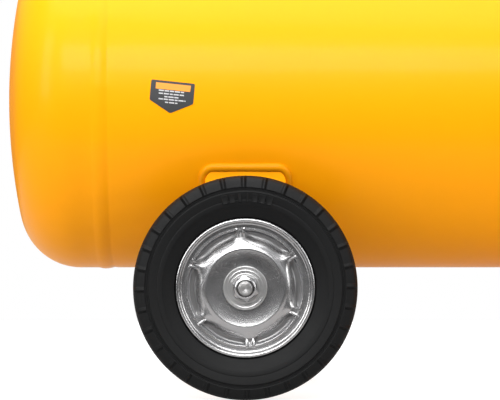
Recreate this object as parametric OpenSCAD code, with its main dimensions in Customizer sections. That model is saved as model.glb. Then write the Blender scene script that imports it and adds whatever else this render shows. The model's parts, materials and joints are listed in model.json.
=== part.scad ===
// Portable belt driven air compressor: tank on two wheels, pump, motor, guard and air fittings.
// X runs along the tank, the wheels stand to the left, -Y is the front, Z is up, the floor is z = 0.

/* [Tank] */
// outside diameter of the air tank
tank_d = 320; // [290:5:384]
// length of the straight shell between the two seams
shell_len = 534; // [520:1:660]
// thickness of the tank steel
tank_wall = 2.5; // [2:0.5:4]
// straight skirt of each pressed head
head_skirt = 27; // [20:1:36]
// height of the dished part of each head
head_dish = 68; // [60:1:84]
// knuckle radius of each head
head_knuckle = 57; // [40:1:59]
// floor to the bottom of the tank
tank_ground = 116; // [100:1:140]

/* [Wheels] */
// diameter of the tyre
wheel_d = 203.2; // [180:0.1:244]
// width of the tyre
tyre_w = 44.5; // [40:0.5:54]
// diameter of the rim over its lips
rim_d = 127; // [110:1:140]
// diameter of the axle bolt
axle_d = 14; // [10:1:16]
// diameter of the large washer on the hub
axle_washer_d = 40; // [32:1:48]
// distance along the tank from the left seam to the axle
axle_from_seam = 132; // [110:1:160]
// width of the welded wheel bracket
bracket_w = 74; // [60:1:90]

/* [Feet and handle] */
// height of each rubber foot
foot_h = 34; // [28:1:42]
// distance between the two rubber feet
foot_span = 170; // [120:5:190]
// diameter of the handle tube
handle_tube_d = 25; // [20:1:28]
// how far the grip bar stands beyond the tank
handle_reach = 96; // [80:1:130]

/* [Pump] */
// cylinder bore
bore_d = 65; // [51:1:70]
// piston stroke
stroke = 46; // [36:1:48]
// connecting rod length between pin centres
rod_len = 95; // [90:1:110]
// height of the crank axis over the platform
crank_h = 90; // [84:1:100]
// diameter of the flywheel
flywheel_d = 250; // [210:5:262]
// diameter of the crankshaft journal
crank_d = 20; // [16:1:22]

/* [Motor] */
// diameter of the motor frame without fins
motor_d = 132; // [120:1:140]
// length of the motor frame
motor_len = 120; // [100:1:140]
// height of the motor shaft over the platform
motor_h = 90; // [84:1:100]
// diameter of the motor pulley
pulley_d = 90; // [75:1:100]
// distance between the crank and the motor shaft
belt_centres = 215; // [205:1:230]

/* [Air fittings] */
// diameter of the pressure gauge
gauge_d = 44; // [38:1:52]
// bore of the quick coupler
coupler_bore = 10; // [8:0.5:11]
// bore of the cable gland
gland_bore = 9; // [7:0.5:10]

/* [Hidden] */

run_gap = 0.3;
fit_gap = 0.05;

tank_r = tank_d / 2;
tank_z = tank_ground + tank_r;
head_len = head_skirt + head_dish;
tank_x = -handle_reach / 2;
seam_x = shell_len / 2;
bead_h = 1.3;
bead_w = 9;
crown_r = (pow(tank_r - head_knuckle, 2) + head_dish * head_dish - head_knuckle * head_knuckle)
    / (2 * (head_dish - head_knuckle));
function tank_half(z) = sqrt(tank_r * tank_r - pow(tank_z - z, 2));

axle_x = tank_x - seam_x + axle_from_seam;
wheel_r = wheel_d / 2;
axle_r = axle_d / 2;
rim_r = rim_d / 2;
bracket_top = wheel_d + 6;
bracket_t = 3;
web_y = tank_half(bracket_top) + 1.7;
tyre_gap = 2.7;
wheel_y = web_y + tyre_gap + tyre_w / 2;
hub_r = axle_r + 4;
hub_out = 13;
hub_in = wheel_y - web_y - run_gap;
washer_t = 2.5;
nut_h = 10.5;
axle_head_h = 9;
axle_end = 3;

plate_t = 3;
plate_half_w = 95;
plate_left = -205;
plate_right = 195;
plate_z = tank_z + tank_r + 29;
pump_x = tank_x - 110;
motor_x = pump_x + belt_centres;
crank_z = plate_z + crank_h;
motor_z = plate_z + motor_h;

bolt_r = 4;
bolt_len = 26;
bolt_head_h = 5.5;
bolt_af = 13;

// rod along Y from y0 to y1
module ycyl(r, y0, y1) {
    translate([0, y0, 0]) rotate([-90, 0, 0]) cylinder(r = r, h = y1 - y0, $fn = 64);
}

// tube along Y
module ytube(ro, ri, y0, y1) {
    difference() {
        ycyl(ro, y0, y1);
        ycyl(ri, y0 - 1, y1 + 1);
    }
}

// rod along Z from z0 to z1
module zcyl(r, z0, z1) {
    translate([0, 0, z0]) cylinder(r = r, h = z1 - z0, $fn = 48);
}

// rod along X from x0 to x1
module xcyl(r, x0, x1) {
    translate([x0, 0, 0]) rotate([0, 90, 0]) cylinder(r = r, h = x1 - x0, $fn = 48);
}

// hexagonal prism along Z, af across its flats
module hexz(af, z0, z1) {
    translate([0, 0, z0]) cylinder(r = af / sqrt(3), h = z1 - z0, $fn = 6);
}

// rectangle with round corners, centred
module rrect(w, h, r) {
    square([w - 2 * r, h], center = true);
    square([w, h - 2 * r], center = true);
    for (sx = [-1, 1], sy = [-1, 1]) {
        translate([sx * (w / 2 - r), sy * (h / 2 - r)]) circle(r = r, $fn = 32);
    }
}

// solid the size of the outside of the tank shell
module tank_core(r) {
    translate([tank_x, 0, tank_z]) rotate([0, 90, 0])
        cylinder(r = r, h = shell_len + 2 * head_skirt, center = true, $fn = 180);
}

// points down a dished head from its crown to its skirt, t inside the outer face
crown_z = head_len - crown_r;
meet_a = atan((tank_r - head_knuckle) / (head_skirt - crown_z));
function head_line(t) = concat(
    [for (i = [0:6]) let (a = meet_a * i / 6) [(crown_r - t) * sin(a), crown_z + (crown_r - t) * cos(a)]],
    [for (i = [1:10]) let (a = meet_a + (90 - meet_a) * i / 10)
        [tank_r - head_knuckle + (head_knuckle - t) * sin(a), head_skirt + (head_knuckle - t) * cos(a)]],
    [[tank_r - t, 0]]);
function backward(list) = [for (i = [len(list) - 1:-1:0]) list[i]];

// one pressed head, its seam at the origin and its dish toward +X
module head() {
    rotate([0, 90, 0]) rotate_extrude($fn = 120)
        polygon(concat(head_line(0), backward(head_line(tank_wall))));
}

// where the three pipe bosses stand along the tank
check_x = tank_x - 236;
manifold_x = tank_x + 236;
drain_x = tank_x + 150;
boss_r = 17;
boss_h = 7;
port_r = 10;
drain_port_r = 7;

module tank_shell() color([0.99, 0.68, 0.05]) {
    difference() {
        union() {
            translate([tank_x, 0, tank_z]) rotate([0, 90, 0])
                cylinder(r = tank_r, h = shell_len, center = true, $fn = 180);
            for (x = [check_x, manifold_x]) translate([x, 0, 0]) zcyl(boss_r, tank_z, tank_z + tank_r + boss_h);
            translate([drain_x, 0, 0]) zcyl(boss_r, tank_z - tank_r - boss_h, tank_z);
        }
        translate([tank_x, 0, tank_z]) rotate([0, 90, 0])
            cylinder(r = tank_r - tank_wall, h = shell_len + 2, center = true, $fn = 180);
        for (x = [check_x, manifold_x]) translate([x, 0, 0]) zcyl(port_r, tank_z, tank_z + tank_r + 20);
        translate([drain_x, 0, 0]) zcyl(drain_port_r, 0, tank_z);
    }
}

module tank_heads() color([0.99, 0.68, 0.05]) {
    for (s = [0, 1]) translate([tank_x, 0, tank_z]) mirror([s, 0, 0]) translate([seam_x, 0, 0]) head();
}

// cup pressed from sheet, open at the bottom, its face toward -Y
module bracket_cup(grow, deep) {
    h = bracket_top - bracket_low + 20;
    translate([axle_x, -web_y + deep, bracket_top + grow - h / 2 - 0.001]) rotate([90, 0, 0])
        translate([0, 0, -100]) linear_extrude(100) rrect(bracket_w + 2 * grow, h, 12 + grow);
}
bracket_low = wheel_r - 22;
flange_in = 50;

module bracket_side() {
    translate([axle_x - 60, 0, 0]) rotate([90, 0, 90]) linear_extrude(120) polygon([
        [-web_y, bracket_low], [-web_y, bracket_top], [-web_y + flange_in, bracket_top],
        [-web_y + flange_in, wheel_r + 40], [-web_y + 20, bracket_low]]);
}

module wheel_bracket() {
    difference() {
        intersection() {
            bracket_cup(0, 0);
            bracket_side();
        }
        bracket_cup(-bracket_t, bracket_t);
        tank_core(tank_r);
        translate([axle_x, 0, wheel_r]) ycyl(axle_r + 0.2, -web_y - 1, -web_y + 20);
    }
}

module wheel_brackets() color([0.99, 0.66, 0.05]) {
    wheel_bracket();
    mirror([0, 1, 0]) wheel_bracket();
}

// painted weld beads: two tank seams and the run round each wheel bracket
module bracket_weld() {
    intersection() {
        difference() {
            bracket_cup(weld_w, -4);
            bracket_cup(0.05, -10);
        }
        difference() {
            tank_core(tank_r + weld_h);
            tank_core(tank_r);
        }
        translate([axle_x - 60, -tank_r, wheel_r + 50]) cube([120, 80, 140]);
    }
}
weld_w = 5;
weld_h = 2.5;

module welds() color([0.97, 0.64, 0.04]) {
    for (s = [-1, 1]) translate([tank_x + s * seam_x, 0, tank_z]) rotate([0, 90, 0])
        difference() {
            cylinder(r = tank_r + bead_h, h = bead_w, center = true, $fn = 180);
            cylinder(r = tank_r, h = bead_w + 1, center = true, $fn = 180);
        }
    bracket_weld();
    mirror([0, 1, 0]) bracket_weld();
}

foot_x = tank_x + seam_x - 52;
foot_half_x = 31;
foot_t = 3;
foot_plate_z = foot_h;
foot_half_y = foot_span / 2 + 20;

module foot_bracket() color([0.99, 0.66, 0.05]) {
    difference() {
        union() {
            translate([foot_x - foot_half_x, -foot_half_y, foot_plate_z])
                cube([2 * foot_half_x, 2 * foot_half_y, foot_t]);
            for (x = [foot_x - foot_half_x, foot_x + foot_half_x - foot_t])
                translate([x, 0, 0]) rotate([90, 0, 90]) linear_extrude(foot_t) polygon([
                    [-foot_half_y, foot_plate_z], [foot_half_y, foot_plate_z],
                    [foot_half_y - 24, tank_z - tank_r * 0.72], [24 - foot_half_y, tank_z - tank_r * 0.72]]);
        }
        tank_core(tank_r);
        for (s = [-1, 1]) translate([foot_x, s * foot_span / 2, 0]) zcyl(bolt_r + 0.2, 0, foot_plate_z + 10);
    }
}

foot_recess = 15.5;
module rubber_feet() color([0.05, 0.05, 0.05]) {
    for (s = [-1, 1]) translate([foot_x, s * foot_span / 2, 0]) difference() {
        cylinder(r1 = 17, r2 = 22, h = foot_h, $fn = 48);
        zcyl(bolt_r + 0.2, -1, foot_h + 1);
        zcyl(9, -1, foot_recess);
    }
}

// identical bolts, head below the origin and shank up
module hex_bolt() {
    hexz(bolt_af, -bolt_head_h, 0);
    zcyl(bolt_r, -0.01, bolt_len);
}

pump_foot_x = 74;
pump_foot_y = 44;
pump_foot_t = 12;
motor_foot_x = 56;
motor_foot_y = [-20, 54];
lug_xy = 42;
lug_t = 12;

module hex_bolts() color([0.6, 0.6, 0.62]) {
    for (s = [-1, 1]) translate([foot_x, s * foot_span / 2, foot_recess]) hex_bolt();
    for (sx = [-1, 1], sy = [-1, 1]) {
        translate([pump_x + sx * lug_xy, sy * lug_xy, head_lug_z]) rotate([180, 0, 0]) hex_bolt();
        translate([pump_x + sx * pump_foot_x, sy * pump_foot_y, plate_z + pump_foot_t])
            rotate([180, 0, 0]) hex_bolt();
    }
    for (sx = [-1, 1], y = motor_foot_y)
        translate([motor_x + sx * motor_foot_x, y, plate_z + pump_foot_t]) rotate([180, 0, 0]) hex_bolt();
}

module platform() color([0.04, 0.04, 0.045]) {
    difference() {
        translate([tank_x + plate_left, 0, 0]) rotate([90, 0, 90]) linear_extrude(plate_right - plate_left)
            difference() {
                translate([-plate_half_w, plate_z - 90]) square([2 * plate_half_w, 90]);
                translate([-plate_half_w + plate_t, plate_z - 91])
                    square([2 * (plate_half_w - plate_t), 91 - plate_t]);
            }
        tank_core(tank_r);
        for (sx = [-1, 1], sy = [-1, 1])
            translate([pump_x + sx * pump_foot_x, sy * pump_foot_y, 0]) zcyl(bolt_r + 0.2, plate_z - 9, plate_z + 9);
        for (sx = [-1, 1], y = motor_foot_y)
            translate([motor_x + sx * motor_foot_x, y, 0]) zcyl(bolt_r + 0.2, plate_z - 9, plate_z + 9);
    }
}

// U shaped tube that lies along the tank shoulders
handle_r = handle_tube_d / 2;
handle_bend = 45;
handle_side = 0.6;
handle_y = (tank_r + handle_r + 2) * handle_side;
handle_z = tank_z + (tank_r + handle_r + 2) * sqrt(1 - handle_side * handle_side);
handle_end = tank_x + seam_x + head_len + handle_reach - handle_r - 4;
handle_start = tank_x + plate_right + 4;
grip_r = handle_r + 4;
grip_half = 62;

module handle() color([0.99, 0.66, 0.05]) {
    difference() {
        union() {
            for (s = [0, 1]) mirror([0, s, 0]) {
                translate([0, handle_y, handle_z]) xcyl(handle_r, handle_start, handle_end - handle_bend);
                translate([handle_end - handle_bend, handle_y - handle_bend, handle_z])
                    rotate_extrude(angle = 90, $fn = 96) translate([handle_bend, 0]) circle(r = handle_r, $fn = 48);
                for (x = [handle_start + 13, tank_x + seam_x - 20])
                    translate([x - 11, 0, tank_z]) rotate([-asin(handle_side), 0, 0])
                        translate([0, -8, tank_r - 4]) cube([22, 16, handle_r]);
            }
            translate([handle_end, 0, handle_z]) ycyl(handle_r, handle_bend - handle_y, handle_y - handle_bend);
        }
        tank_core(tank_r);
    }
}

module handle_grip() color([0.05, 0.05, 0.05]) {
    translate([handle_end, 0, handle_z]) ytube(grip_r, handle_r + fit_gap, -grip_half, grip_half);
}

// rotate a wheel built along +Z to the front or the rear axle
module at_wheel(side) {
    translate([axle_x, side * wheel_y, wheel_r]) rotate([side * -90, 0, 0]) children();
}

seat_r = rim_r - 10;
crown_half = 14;
module tyre() {
    h = tyre_w / 2;
    half = [
        [seat_r, 5.5], [rim_r - 9.5, 5.5], [rim_r - 3.4, 10.4], [rim_r - 1, 10.8], [rim_r + 0.4, 12.6],
        [rim_r + 0.7, 14.8], [rim_r + 3, h - 6], [rim_r + 9, h - 2.8], [wheel_r - 23, h - 0.9],
        [wheel_r - 14, h], [wheel_r - 13.4, h - 1.6], [wheel_r - 11.4, h - 1.6], [wheel_r - 10.8, h - 0.6],
        [wheel_r - 4, h - 3.2], [wheel_r - 1.2, crown_half + 2], [wheel_r, crown_half - 2]];
    rotate_extrude($fn = 128) polygon(concat(half, [for (i = [len(half) - 1:-1:0]) [half[i][0], -half[i][1]]]));
}

valley = 7.4;
sheet_t = 1.6;
tab_phase = 35;
// one pressed rim disc: rolled lip, channel, valley, cone and dome
module rim_disc(bore) {
    rotate_extrude($fn = 128) {
        polygon([
            [rim_r - 2.5, 13.6], [rim_r - 9.5, valley], [rim_r - 18, valley], [rim_r - 28, valley + 4.2],
            [bore, valley + 5.2], [bore, valley + 5.2 - sheet_t],
            [rim_r - 28, valley + 4.2 - sheet_t], [rim_r - 18, valley - sheet_t],
            [rim_r - 9.5, valley - sheet_t], [rim_r - 2.5, 13.6 - sheet_t]]);
        translate([rim_r - 2.2, 13.4]) circle(r = 2.2, $fn = 32);
    }
}

module rim_outer() {
    difference() {
        rim_disc(hub_r + fit_gap);
        for (i = [0:5]) rotate(tab_phase + 60 * i) translate([rim_r - 12.3, -5.8, 0]) cube([2.1, 11.6, 20]);
    }
}

module rim_inner() {
    difference() {
        union() {
            mirror([0, 0, 1]) rim_disc(hub_r - 1);
            zcyl(hub_r, -hub_in, hub_out);
        }
        zcyl(axle_r + run_gap, -hub_in - 1, hub_out + 1);
    }
    rotate_extrude($fn = 128) translate([rim_r - 12, -valley + 0.2]) square([1.5, 2 * valley - sheet_t - 0.2]);
    for (i = [0:5]) rotate(tab_phase + 60 * i) {
        translate([rim_r - 12, -5.5, valley - sheet_t - 1]) cube([1.5, 11, sheet_t + 2.5]);
        translate([rim_r - 17, -5.5, valley]) cube([6.5, 11, 1.5]);
    }
}

module tyre_front() color([0.03, 0.03, 0.03]) at_wheel(-1) tyre();
module tyre_rear() color([0.03, 0.03, 0.03]) at_wheel(1) tyre();
module rim_outer_front() color([0.75, 0.76, 0.78]) at_wheel(-1) rim_outer();
module rim_outer_rear() color([0.75, 0.76, 0.78]) at_wheel(1) rim_outer();
module rim_inner_front() color([0.7, 0.71, 0.73]) at_wheel(-1) rim_inner();
module rim_inner_rear() color([0.7, 0.71, 0.73]) at_wheel(1) rim_inner();

washer_z = hub_out + run_gap;
nut_z = washer_z + washer_t;
web_in = -(wheel_y - web_y + bracket_t);
nut_af = axle_d * 1.5;

module axle_bolts() color([0.6, 0.61, 0.62]) {
    for (s = [-1, 1]) at_wheel(s) {
        hexz(nut_af, web_in - axle_head_h, web_in);
        zcyl(axle_r, web_in - 0.01, nut_z + nut_h + axle_end);
    }
}

module axle_washers() color([0.75, 0.76, 0.78]) {
    for (s = [-1, 1]) at_wheel(s) difference() {
        zcyl(axle_washer_d / 2, washer_z, washer_z + washer_t);
        zcyl(axle_r + fit_gap, 0, 60);
    }
}

module axle_nuts() color([0.75, 0.76, 0.78]) {
    for (s = [-1, 1]) at_wheel(s) difference() {
        hexz(nut_af, nut_z, nut_z + nut_h);
        zcyl(axle_r + fit_gap, 0, 60);
    }
}

// pump, built round the crank axis
case_r = 72;
case_half = 58;
cavity_r = 62;
case_inner = 30;
boss_end = 78;
deck_h = case_r + 8;
bearing_r = 23.5;
bearing_w = 14;
crank_r = crank_d / 2;
spigot_r = bore_d / 2 + 5.5;
spigot_h = 20;
rest_pin = rod_len - stroke / 2;
piston_down = 22;
piston_up = 28;
cyl_top = rod_len + stroke / 2 + piston_up + 1;
gasket_t = 6;
head_h = 40;
head_lug_z = crank_z + cyl_top + gasket_t + lug_t;
deck_w = 104;
tap_r = bolt_r + 0.1;
tap_h = bolt_len - lug_t - gasket_t + 2;

module at_crank() {
    translate([pump_x, 0, crank_z]) children();
}

module crankcase() color([0.12, 0.12, 0.13]) at_crank() {
    difference() {
        union() {
            ycyl(case_r, -case_half, case_half);
            ycyl(34, case_half - 1, boss_end);
            translate([-62, -case_half, -crank_h]) cube([124, 2 * case_half, crank_h]);
            translate([-85, -case_half, -crank_h]) cube([170, 2 * case_half, pump_foot_t]);
            zcyl(52, 0, deck_h);
            translate([0, 0, deck_h - 10]) linear_extrude(10) rrect(deck_w, deck_w, 10);
        }
        ycyl(cavity_r, -case_half - 1, case_inner);
        translate([-50, -case_half + 8, -crank_h + 8]) cube([100, case_half - 8 + case_inner, crank_h - 20]);
        zcyl(spigot_r + fit_gap, 0, deck_h + 1);
        ycyl(bearing_r + fit_gap, case_inner - 1, case_inner + bearing_w);
        ycyl(bearing_r + fit_gap, boss_end - bearing_w, boss_end + 1);
        ycyl(bearing_r - 5, case_inner, boss_end);
        for (sx = [-1, 1], sy = [-1, 1]) {
            translate([sx * pump_foot_x, sy * pump_foot_y, -crank_h]) zcyl(bolt_r + 0.2, -1, pump_foot_t + 1);
        }
    }
}

glass_x = 0;
glass_z = -34;
glass_r = 11;
cover_t = 8;
module crankcase_cover() color([0.12, 0.12, 0.13]) at_crank() {
    difference() {
        union() {
            ycyl(case_r, -case_half - cover_t, -case_half);
            ycyl(46, -case_half - cover_t - 5, -case_half - cover_t + 1);
            translate([glass_x, 0, glass_z]) ycyl(glass_r + 5, -case_half - cover_t - 8, -case_half);
        }
        translate([glass_x, 0, glass_z]) ycyl(glass_r + fit_gap, -case_half - cover_t - 9, -case_half - 2);
        translate([glass_x, 0, glass_z]) ycyl(glass_r - 3, -case_half - cover_t - 9, -case_half + 1);
    }
}

module oil_sight_glass() color([0.85, 0.75, 0.4]) at_crank() translate([glass_x, 0, glass_z])
    ycyl(glass_r, -case_half - cover_t - 6, -case_half - 2);

cyl_r = bore_d / 2 + 9;
fin_w = 112;
module cylinder_block() color([0.35, 0.36, 0.37]) at_crank() {
    difference() {
        union() {
            zcyl(spigot_r, deck_h - spigot_h, deck_h + 1);
            zcyl(cyl_r, deck_h, cyl_top);
            translate([0, 0, deck_h]) linear_extrude(7) rrect(deck_w, deck_w, 10);
            translate([0, 0, cyl_top - 9]) linear_extrude(9) rrect(deck_w, deck_w, 10);
            for (z = [deck_h + 13:8:cyl_top - 14]) translate([0, 0, z]) linear_extrude(2.5)
                rrect(fin_w, fin_w, 16);
        }
        zcyl(bore_d / 2, 0, cyl_top + 1);
        for (sx = [-1, 1], sy = [-1, 1]) translate([sx * lug_xy, sy * lug_xy, 0])
            zcyl(tap_r, cyl_top - tap_h, cyl_top + 1);
    }
}

module valve_plate() color([0.6, 0.6, 0.62]) at_crank() translate([0, 0, cyl_top]) difference() {
    linear_extrude(gasket_t) rrect(deck_w, deck_w, 10);
    for (sx = [-1, 1], sy = [-1, 1]) translate([sx * lug_xy, sy * lug_xy, 0]) zcyl(tap_r, -1, 20);
    for (y = [-14, 14]) translate([0, y, 0]) zcyl(5, -1, 20);
}

// ports of the cylinder head: air in at the front, air out to the left
out_z = 22;
in_z = 22;
head_half = deck_w / 2;
tube_r = 7;
module cylinder_head() color([0.35, 0.36, 0.37]) at_crank() translate([0, 0, cyl_top + gasket_t]) difference() {
    union() {
        linear_extrude(lug_t) rrect(deck_w, deck_w, 10);
        for (a = [0, 90]) rotate(a) translate([0, 0, 0]) linear_extrude(head_h - 10)
            square([deck_w - 0.02, deck_w - 40], center = true);
        for (y = [-30:10:30]) translate([-head_half + 4, y - 1.4, 0]) cube([deck_w - 8, 2.8, head_h]);
        translate([0, 0, out_z]) xcyl(12, -head_half - 8, -20);
        translate([0, 0, in_z]) ycyl(13, -head_half - 8, -20);
    }
    for (sx = [-1, 1], sy = [-1, 1]) translate([sx * lug_xy, sy * lug_xy, 0]) zcyl(tap_r, -1, lug_t + 1);
    translate([0, 0, out_z]) xcyl(tube_r + fit_gap, -head_half - 9, -20);
    translate([0, 0, in_z]) ycyl(8, -head_half - 9, -20);
    translate([-24, -24, -1]) cube([22, 48, 15]);
    translate([2, -24, -1]) cube([22, 48, 15]);
}

filter_r = 27;
module air_filter() color([0.05, 0.05, 0.05]) at_crank()
    translate([0, -head_half - 8, cyl_top + gasket_t + in_z]) {
        ycyl(8 - fit_gap, -2, 18);
        difference() {
            union() {
                ycyl(filter_r, -34, 0);
                ycyl(filter_r - 4, -38, 0);
            }
            for (a = [0:30:330]) rotate([0, a, 0]) translate([filter_r - 3, -30, -2]) cube([8, 22, 4]);
            ycyl(5, -30, 30);
        }
    }

web_y0 = 10;
web_y1 = 24;
pin_off = -stroke / 2;
counter_r = 44;
belt_y = 114;
flywheel_half = 14;
shaft_end = 124;
module crankshaft() color([0.55, 0.56, 0.58]) at_crank() {
    ycyl(crank_r, web_y0, shaft_end);
    ycyl(crank_r + 5, web_y0, web_y1 + 3);
    translate([0, web_y1, 0]) rotate([90, 0, 0]) linear_extrude(web_y1 - web_y0) {
        intersection() {
            circle(r = counter_r, $fn = 64);
            translate([-counter_r, 0]) square([2 * counter_r, counter_r]);
        }
        translate([-16, pin_off]) square([32, -pin_off + 1]);
        translate([0, pin_off]) circle(r = 16, $fn = 48);
    }
    translate([0, shaft_end, 0]) rotate([-90, 0, 0]) hexz(19, -0.01, 9);
}

module crank_bearings() color([0.7, 0.71, 0.72]) at_crank() {
    for (y = [case_inner, boss_end - bearing_w]) ytube(bearing_r, crank_r + run_gap, y, y + bearing_w);
}

pin_r = 10;
wrist_r = 8;
rod_half = 8;
// connecting rod hangs from the wrist pin with the crank at the bottom of its stroke
module connecting_rod() color([0.6, 0.6, 0.6]) at_crank() difference() {
    union() {
        translate([0, 0, rest_pin]) ycyl(wrist_r + 5, -rod_half, rod_half);
        translate([0, 0, pin_off]) ycyl(pin_r + 8, -rod_half, rod_half);
        translate([-6.5, -5, pin_off]) cube([13, 10, rod_len]);
    }
    translate([0, 0, rest_pin]) ycyl(wrist_r + fit_gap, -20, 20);
    translate([0, 0, pin_off]) ycyl(pin_r + fit_gap, -20, 20);
}

module rod_pins() color([0.7, 0.7, 0.72]) at_crank() {
    translate([0, 0, rest_pin]) ycyl(wrist_r, -25, 25);
    translate([0, 0, pin_off]) ycyl(pin_r, -web_y0, web_y0 - run_gap - 0.2);
}

piston_r = bore_d / 2 - run_gap;
module piston() color([0.75, 0.76, 0.77]) at_crank() translate([0, 0, rest_pin]) difference() {
    union() {
        difference() {
            zcyl(piston_r, -piston_down, piston_up);
            zcyl(piston_r - 5, -piston_down - 1, piston_up - 9);
        }
        intersection() {
            zcyl(piston_r - 1, -piston_down, piston_up);
            for (s = [-1, 1]) translate([0, s * 20, 0]) ycyl(13, -9, 9);
        }
    }
    ycyl(wrist_r + run_gap, -40, 40);
    for (z = [9:6:21]) translate([0, 0, piston_up - z]) difference() {
        zcyl(piston_r + 1, 0, 2);
        zcyl(piston_r - 2, -1, 3);
    }
}

// belt and grooves
belt_depth = 8;
belt_top = 6.5;
belt_low = 4;
belt_sink = 1;
groove_floor = 3;
fly_r = flywheel_d / 2;
pulley_r = pulley_d / 2;
motor_dz = motor_z - crank_z;
belt_d = sqrt(belt_centres * belt_centres + motor_dz * motor_dz);
belt_tilt = atan2(motor_dz, belt_centres);

// ring with a V groove, r outside and ri inside
module v_ring(r, ri) {
    g = run_gap * 1.1;
    slope = (belt_top - belt_low) / belt_depth;
    foot = r - belt_sink - belt_depth - groove_floor;
    foot_w = belt_low + g - slope * groove_floor;
    rotate_extrude($fn = 128) polygon([
        [ri, -flywheel_half], [r, -flywheel_half], [r, -(belt_top + g + slope * belt_sink)], [foot, -foot_w],
        [foot, foot_w], [r, belt_top + g + slope * belt_sink], [r, flywheel_half], [ri, flywheel_half]]);
}

module flywheel() color([0.1, 0.1, 0.1]) at_crank() translate([0, belt_y, 0]) rotate([-90, 0, 0]) {
    difference() {
        union() {
            v_ring(fly_r, fly_r - 20);
            zcyl(26, -belt_y + boss_end + 4, shaft_end - belt_y);
            for (a = [0:72:288]) rotate(a + 18) translate([0, -12, -5]) cube([fly_r - 19, 24, 10]);
        }
        zcyl(crank_r + fit_gap, -60, 60);
    }
}

// motor, built round its shaft
motor_mid = 10;
motor_y0 = motor_mid - motor_len / 2;
motor_y1 = motor_mid + motor_len / 2;
motor_r = motor_d / 2;
fin_h = 8;
shaft_r = 9.5;
bell_t = 16;
module at_motor() {
    translate([motor_x, 0, motor_z]) children();
}

module motor_frame() color([0.12, 0.12, 0.13]) at_motor() difference() {
    union() {
        ycyl(motor_r, motor_y0, motor_y1);
        translate([0, motor_y0 + 6, 0]) rotate([-90, 0, 0]) linear_extrude(motor_len - 12)
            for (a = [-60:10:240]) rotate(-a) translate([motor_r - 2, -1.2]) square([fin_h + 2, 2.4]);
        for (s = [-1, 1]) translate([s * 40 - 8, motor_y0 + 8, -motor_h]) cube([16, motor_len - 16, motor_h - 30]);
        for (s = [-1, 1]) translate([s * motor_foot_x - 24, motor_y0 + 8, -motor_h])
            cube([36 + 4 * (1 + s), motor_len - 16, pump_foot_t]);
        translate([-30, motor_mid - 30, motor_r - 8]) cube([60, 60, fin_h + 12]);
    }
    ycyl(motor_r - 4, motor_y0 - 1, motor_y1 + 1);
    for (s = [-1, 1], y = motor_foot_y) translate([s * motor_foot_x, y, -motor_h])
        zcyl(bolt_r + 0.2, -1, pump_foot_t + 1);
}

module motor_bell(y, s) {
    translate([0, y, 0]) rotate([s * -90, 0, 0]) rotate_extrude($fn = 96) polygon([
        [shaft_r + run_gap, 2], [motor_r, 0], [motor_r + 4, 0], [motor_r + 4, 7], [motor_r - 8, 11],
        [26, 11], [22, bell_t], [shaft_r + run_gap, bell_t]]);
}

module motor_end_bells() color([0.15, 0.15, 0.16]) at_motor() {
    motor_bell(motor_y1, 1);
    motor_bell(motor_y0, -1);
}

rotor_r = motor_r - 24;
module motor_stator() color([0.6, 0.35, 0.15]) at_motor() {
    ytube(motor_r - 4 - fit_gap, rotor_r + 0.8, motor_y0 + 18, motor_y1 - 18);
    for (y = [[motor_y0 + 6, motor_y0 + 18], [motor_y1 - 18, motor_y1 - 6]])
        ytube(motor_r - 8, rotor_r + 4, y[0], y[1]);
}

module motor_rotor() color([0.6, 0.6, 0.62]) at_motor() {
    ycyl(shaft_r, motor_y0 - bell_t - 36, belt_y + flywheel_half);
    ytube(rotor_r, shaft_r - 0.01, motor_y0 + 16, motor_y1 - 16);
}

fan_y = motor_y0 - bell_t - 10;
module motor_fan() color([0.1, 0.1, 0.1]) at_motor() difference() {
    union() {
        ycyl(16, fan_y - 20, fan_y);
        ycyl(motor_r - 14, fan_y - 3, fan_y);
        for (a = [0:45:315]) rotate([0, a, 0]) translate([14, fan_y - 18, -1]) cube([motor_r - 30, 17, 2]);
    }
    ycyl(shaft_r + fit_gap, fan_y - 40, fan_y + 10);
}

cover_end = motor_y0 - 62;
module motor_fan_cover() color([0.05, 0.05, 0.05]) at_motor() {
    ytube(motor_r + 5.6, motor_r + 4 + fit_gap, cover_end, motor_y0 - 0.5);
    translate([0, cover_end, 0]) rotate([-90, 0, 0]) linear_extrude(2) difference() {
        circle(r = motor_r + 4.5, $fn = 96);
        for (r = [20:9:56]) difference() {
            circle(r = r + 5, $fn = 64);
            circle(r = r, $fn = 64);
            for (a = [0:60:120]) rotate(a) square([200, 5], center = true);
        }
    }
}

module motor_pulley() color([0.3, 0.3, 0.31]) at_motor() translate([0, belt_y, 0]) rotate([-90, 0, 0])
    difference() {
        v_ring(pulley_r, shaft_r + fit_gap);
        zcyl(pulley_r - 20, flywheel_half - 6, flywheel_half + 1);
    }

box_z = motor_r + fin_h + 4;
module capacitor_box() color([0.05, 0.05, 0.05]) at_motor() translate([0, motor_mid, box_z]) difference() {
    linear_extrude(38) rrect(92, 72, 6);
    translate([0, 0, 2.5]) linear_extrude(33) rrect(87, 67, 4);
}

// plane of the belt, its origin on the crank axis and its X toward the motor shaft
module at_belt() {
    translate([pump_x, belt_y, crank_z]) rotate([90, 0, 0]) rotate(belt_tilt) children();
}

// four corners where the straights leave both pulleys, g outside them and a hair inside the tangents
hair = 0.03;
module loop_sides(g) {
    a = asin((fly_r - pulley_r) / belt_d);
    ends = [[0, fly_r + g - hair], [belt_d, pulley_r + g - hair]];
    polygon(concat(
        [for (e = ends) [e[0] + e[1] * sin(a), e[1] * cos(a)]],
        [for (e = backward(ends)) [e[0] + e[1] * sin(a), -e[1] * cos(a)]]));
}

// outline round both pulleys, g outside them
module loop(g) {
    circle(r = fly_r + g, $fn = 128);
    translate([belt_d, 0]) circle(r = pulley_r + g, $fn = 128);
    loop_sides(g);
}

// slab across the belt plane from y0 to y1
module slab(y0, y1) {
    at_belt() translate([0, 0, belt_y - y1]) linear_extrude(y1 - y0) children();
}

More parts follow.
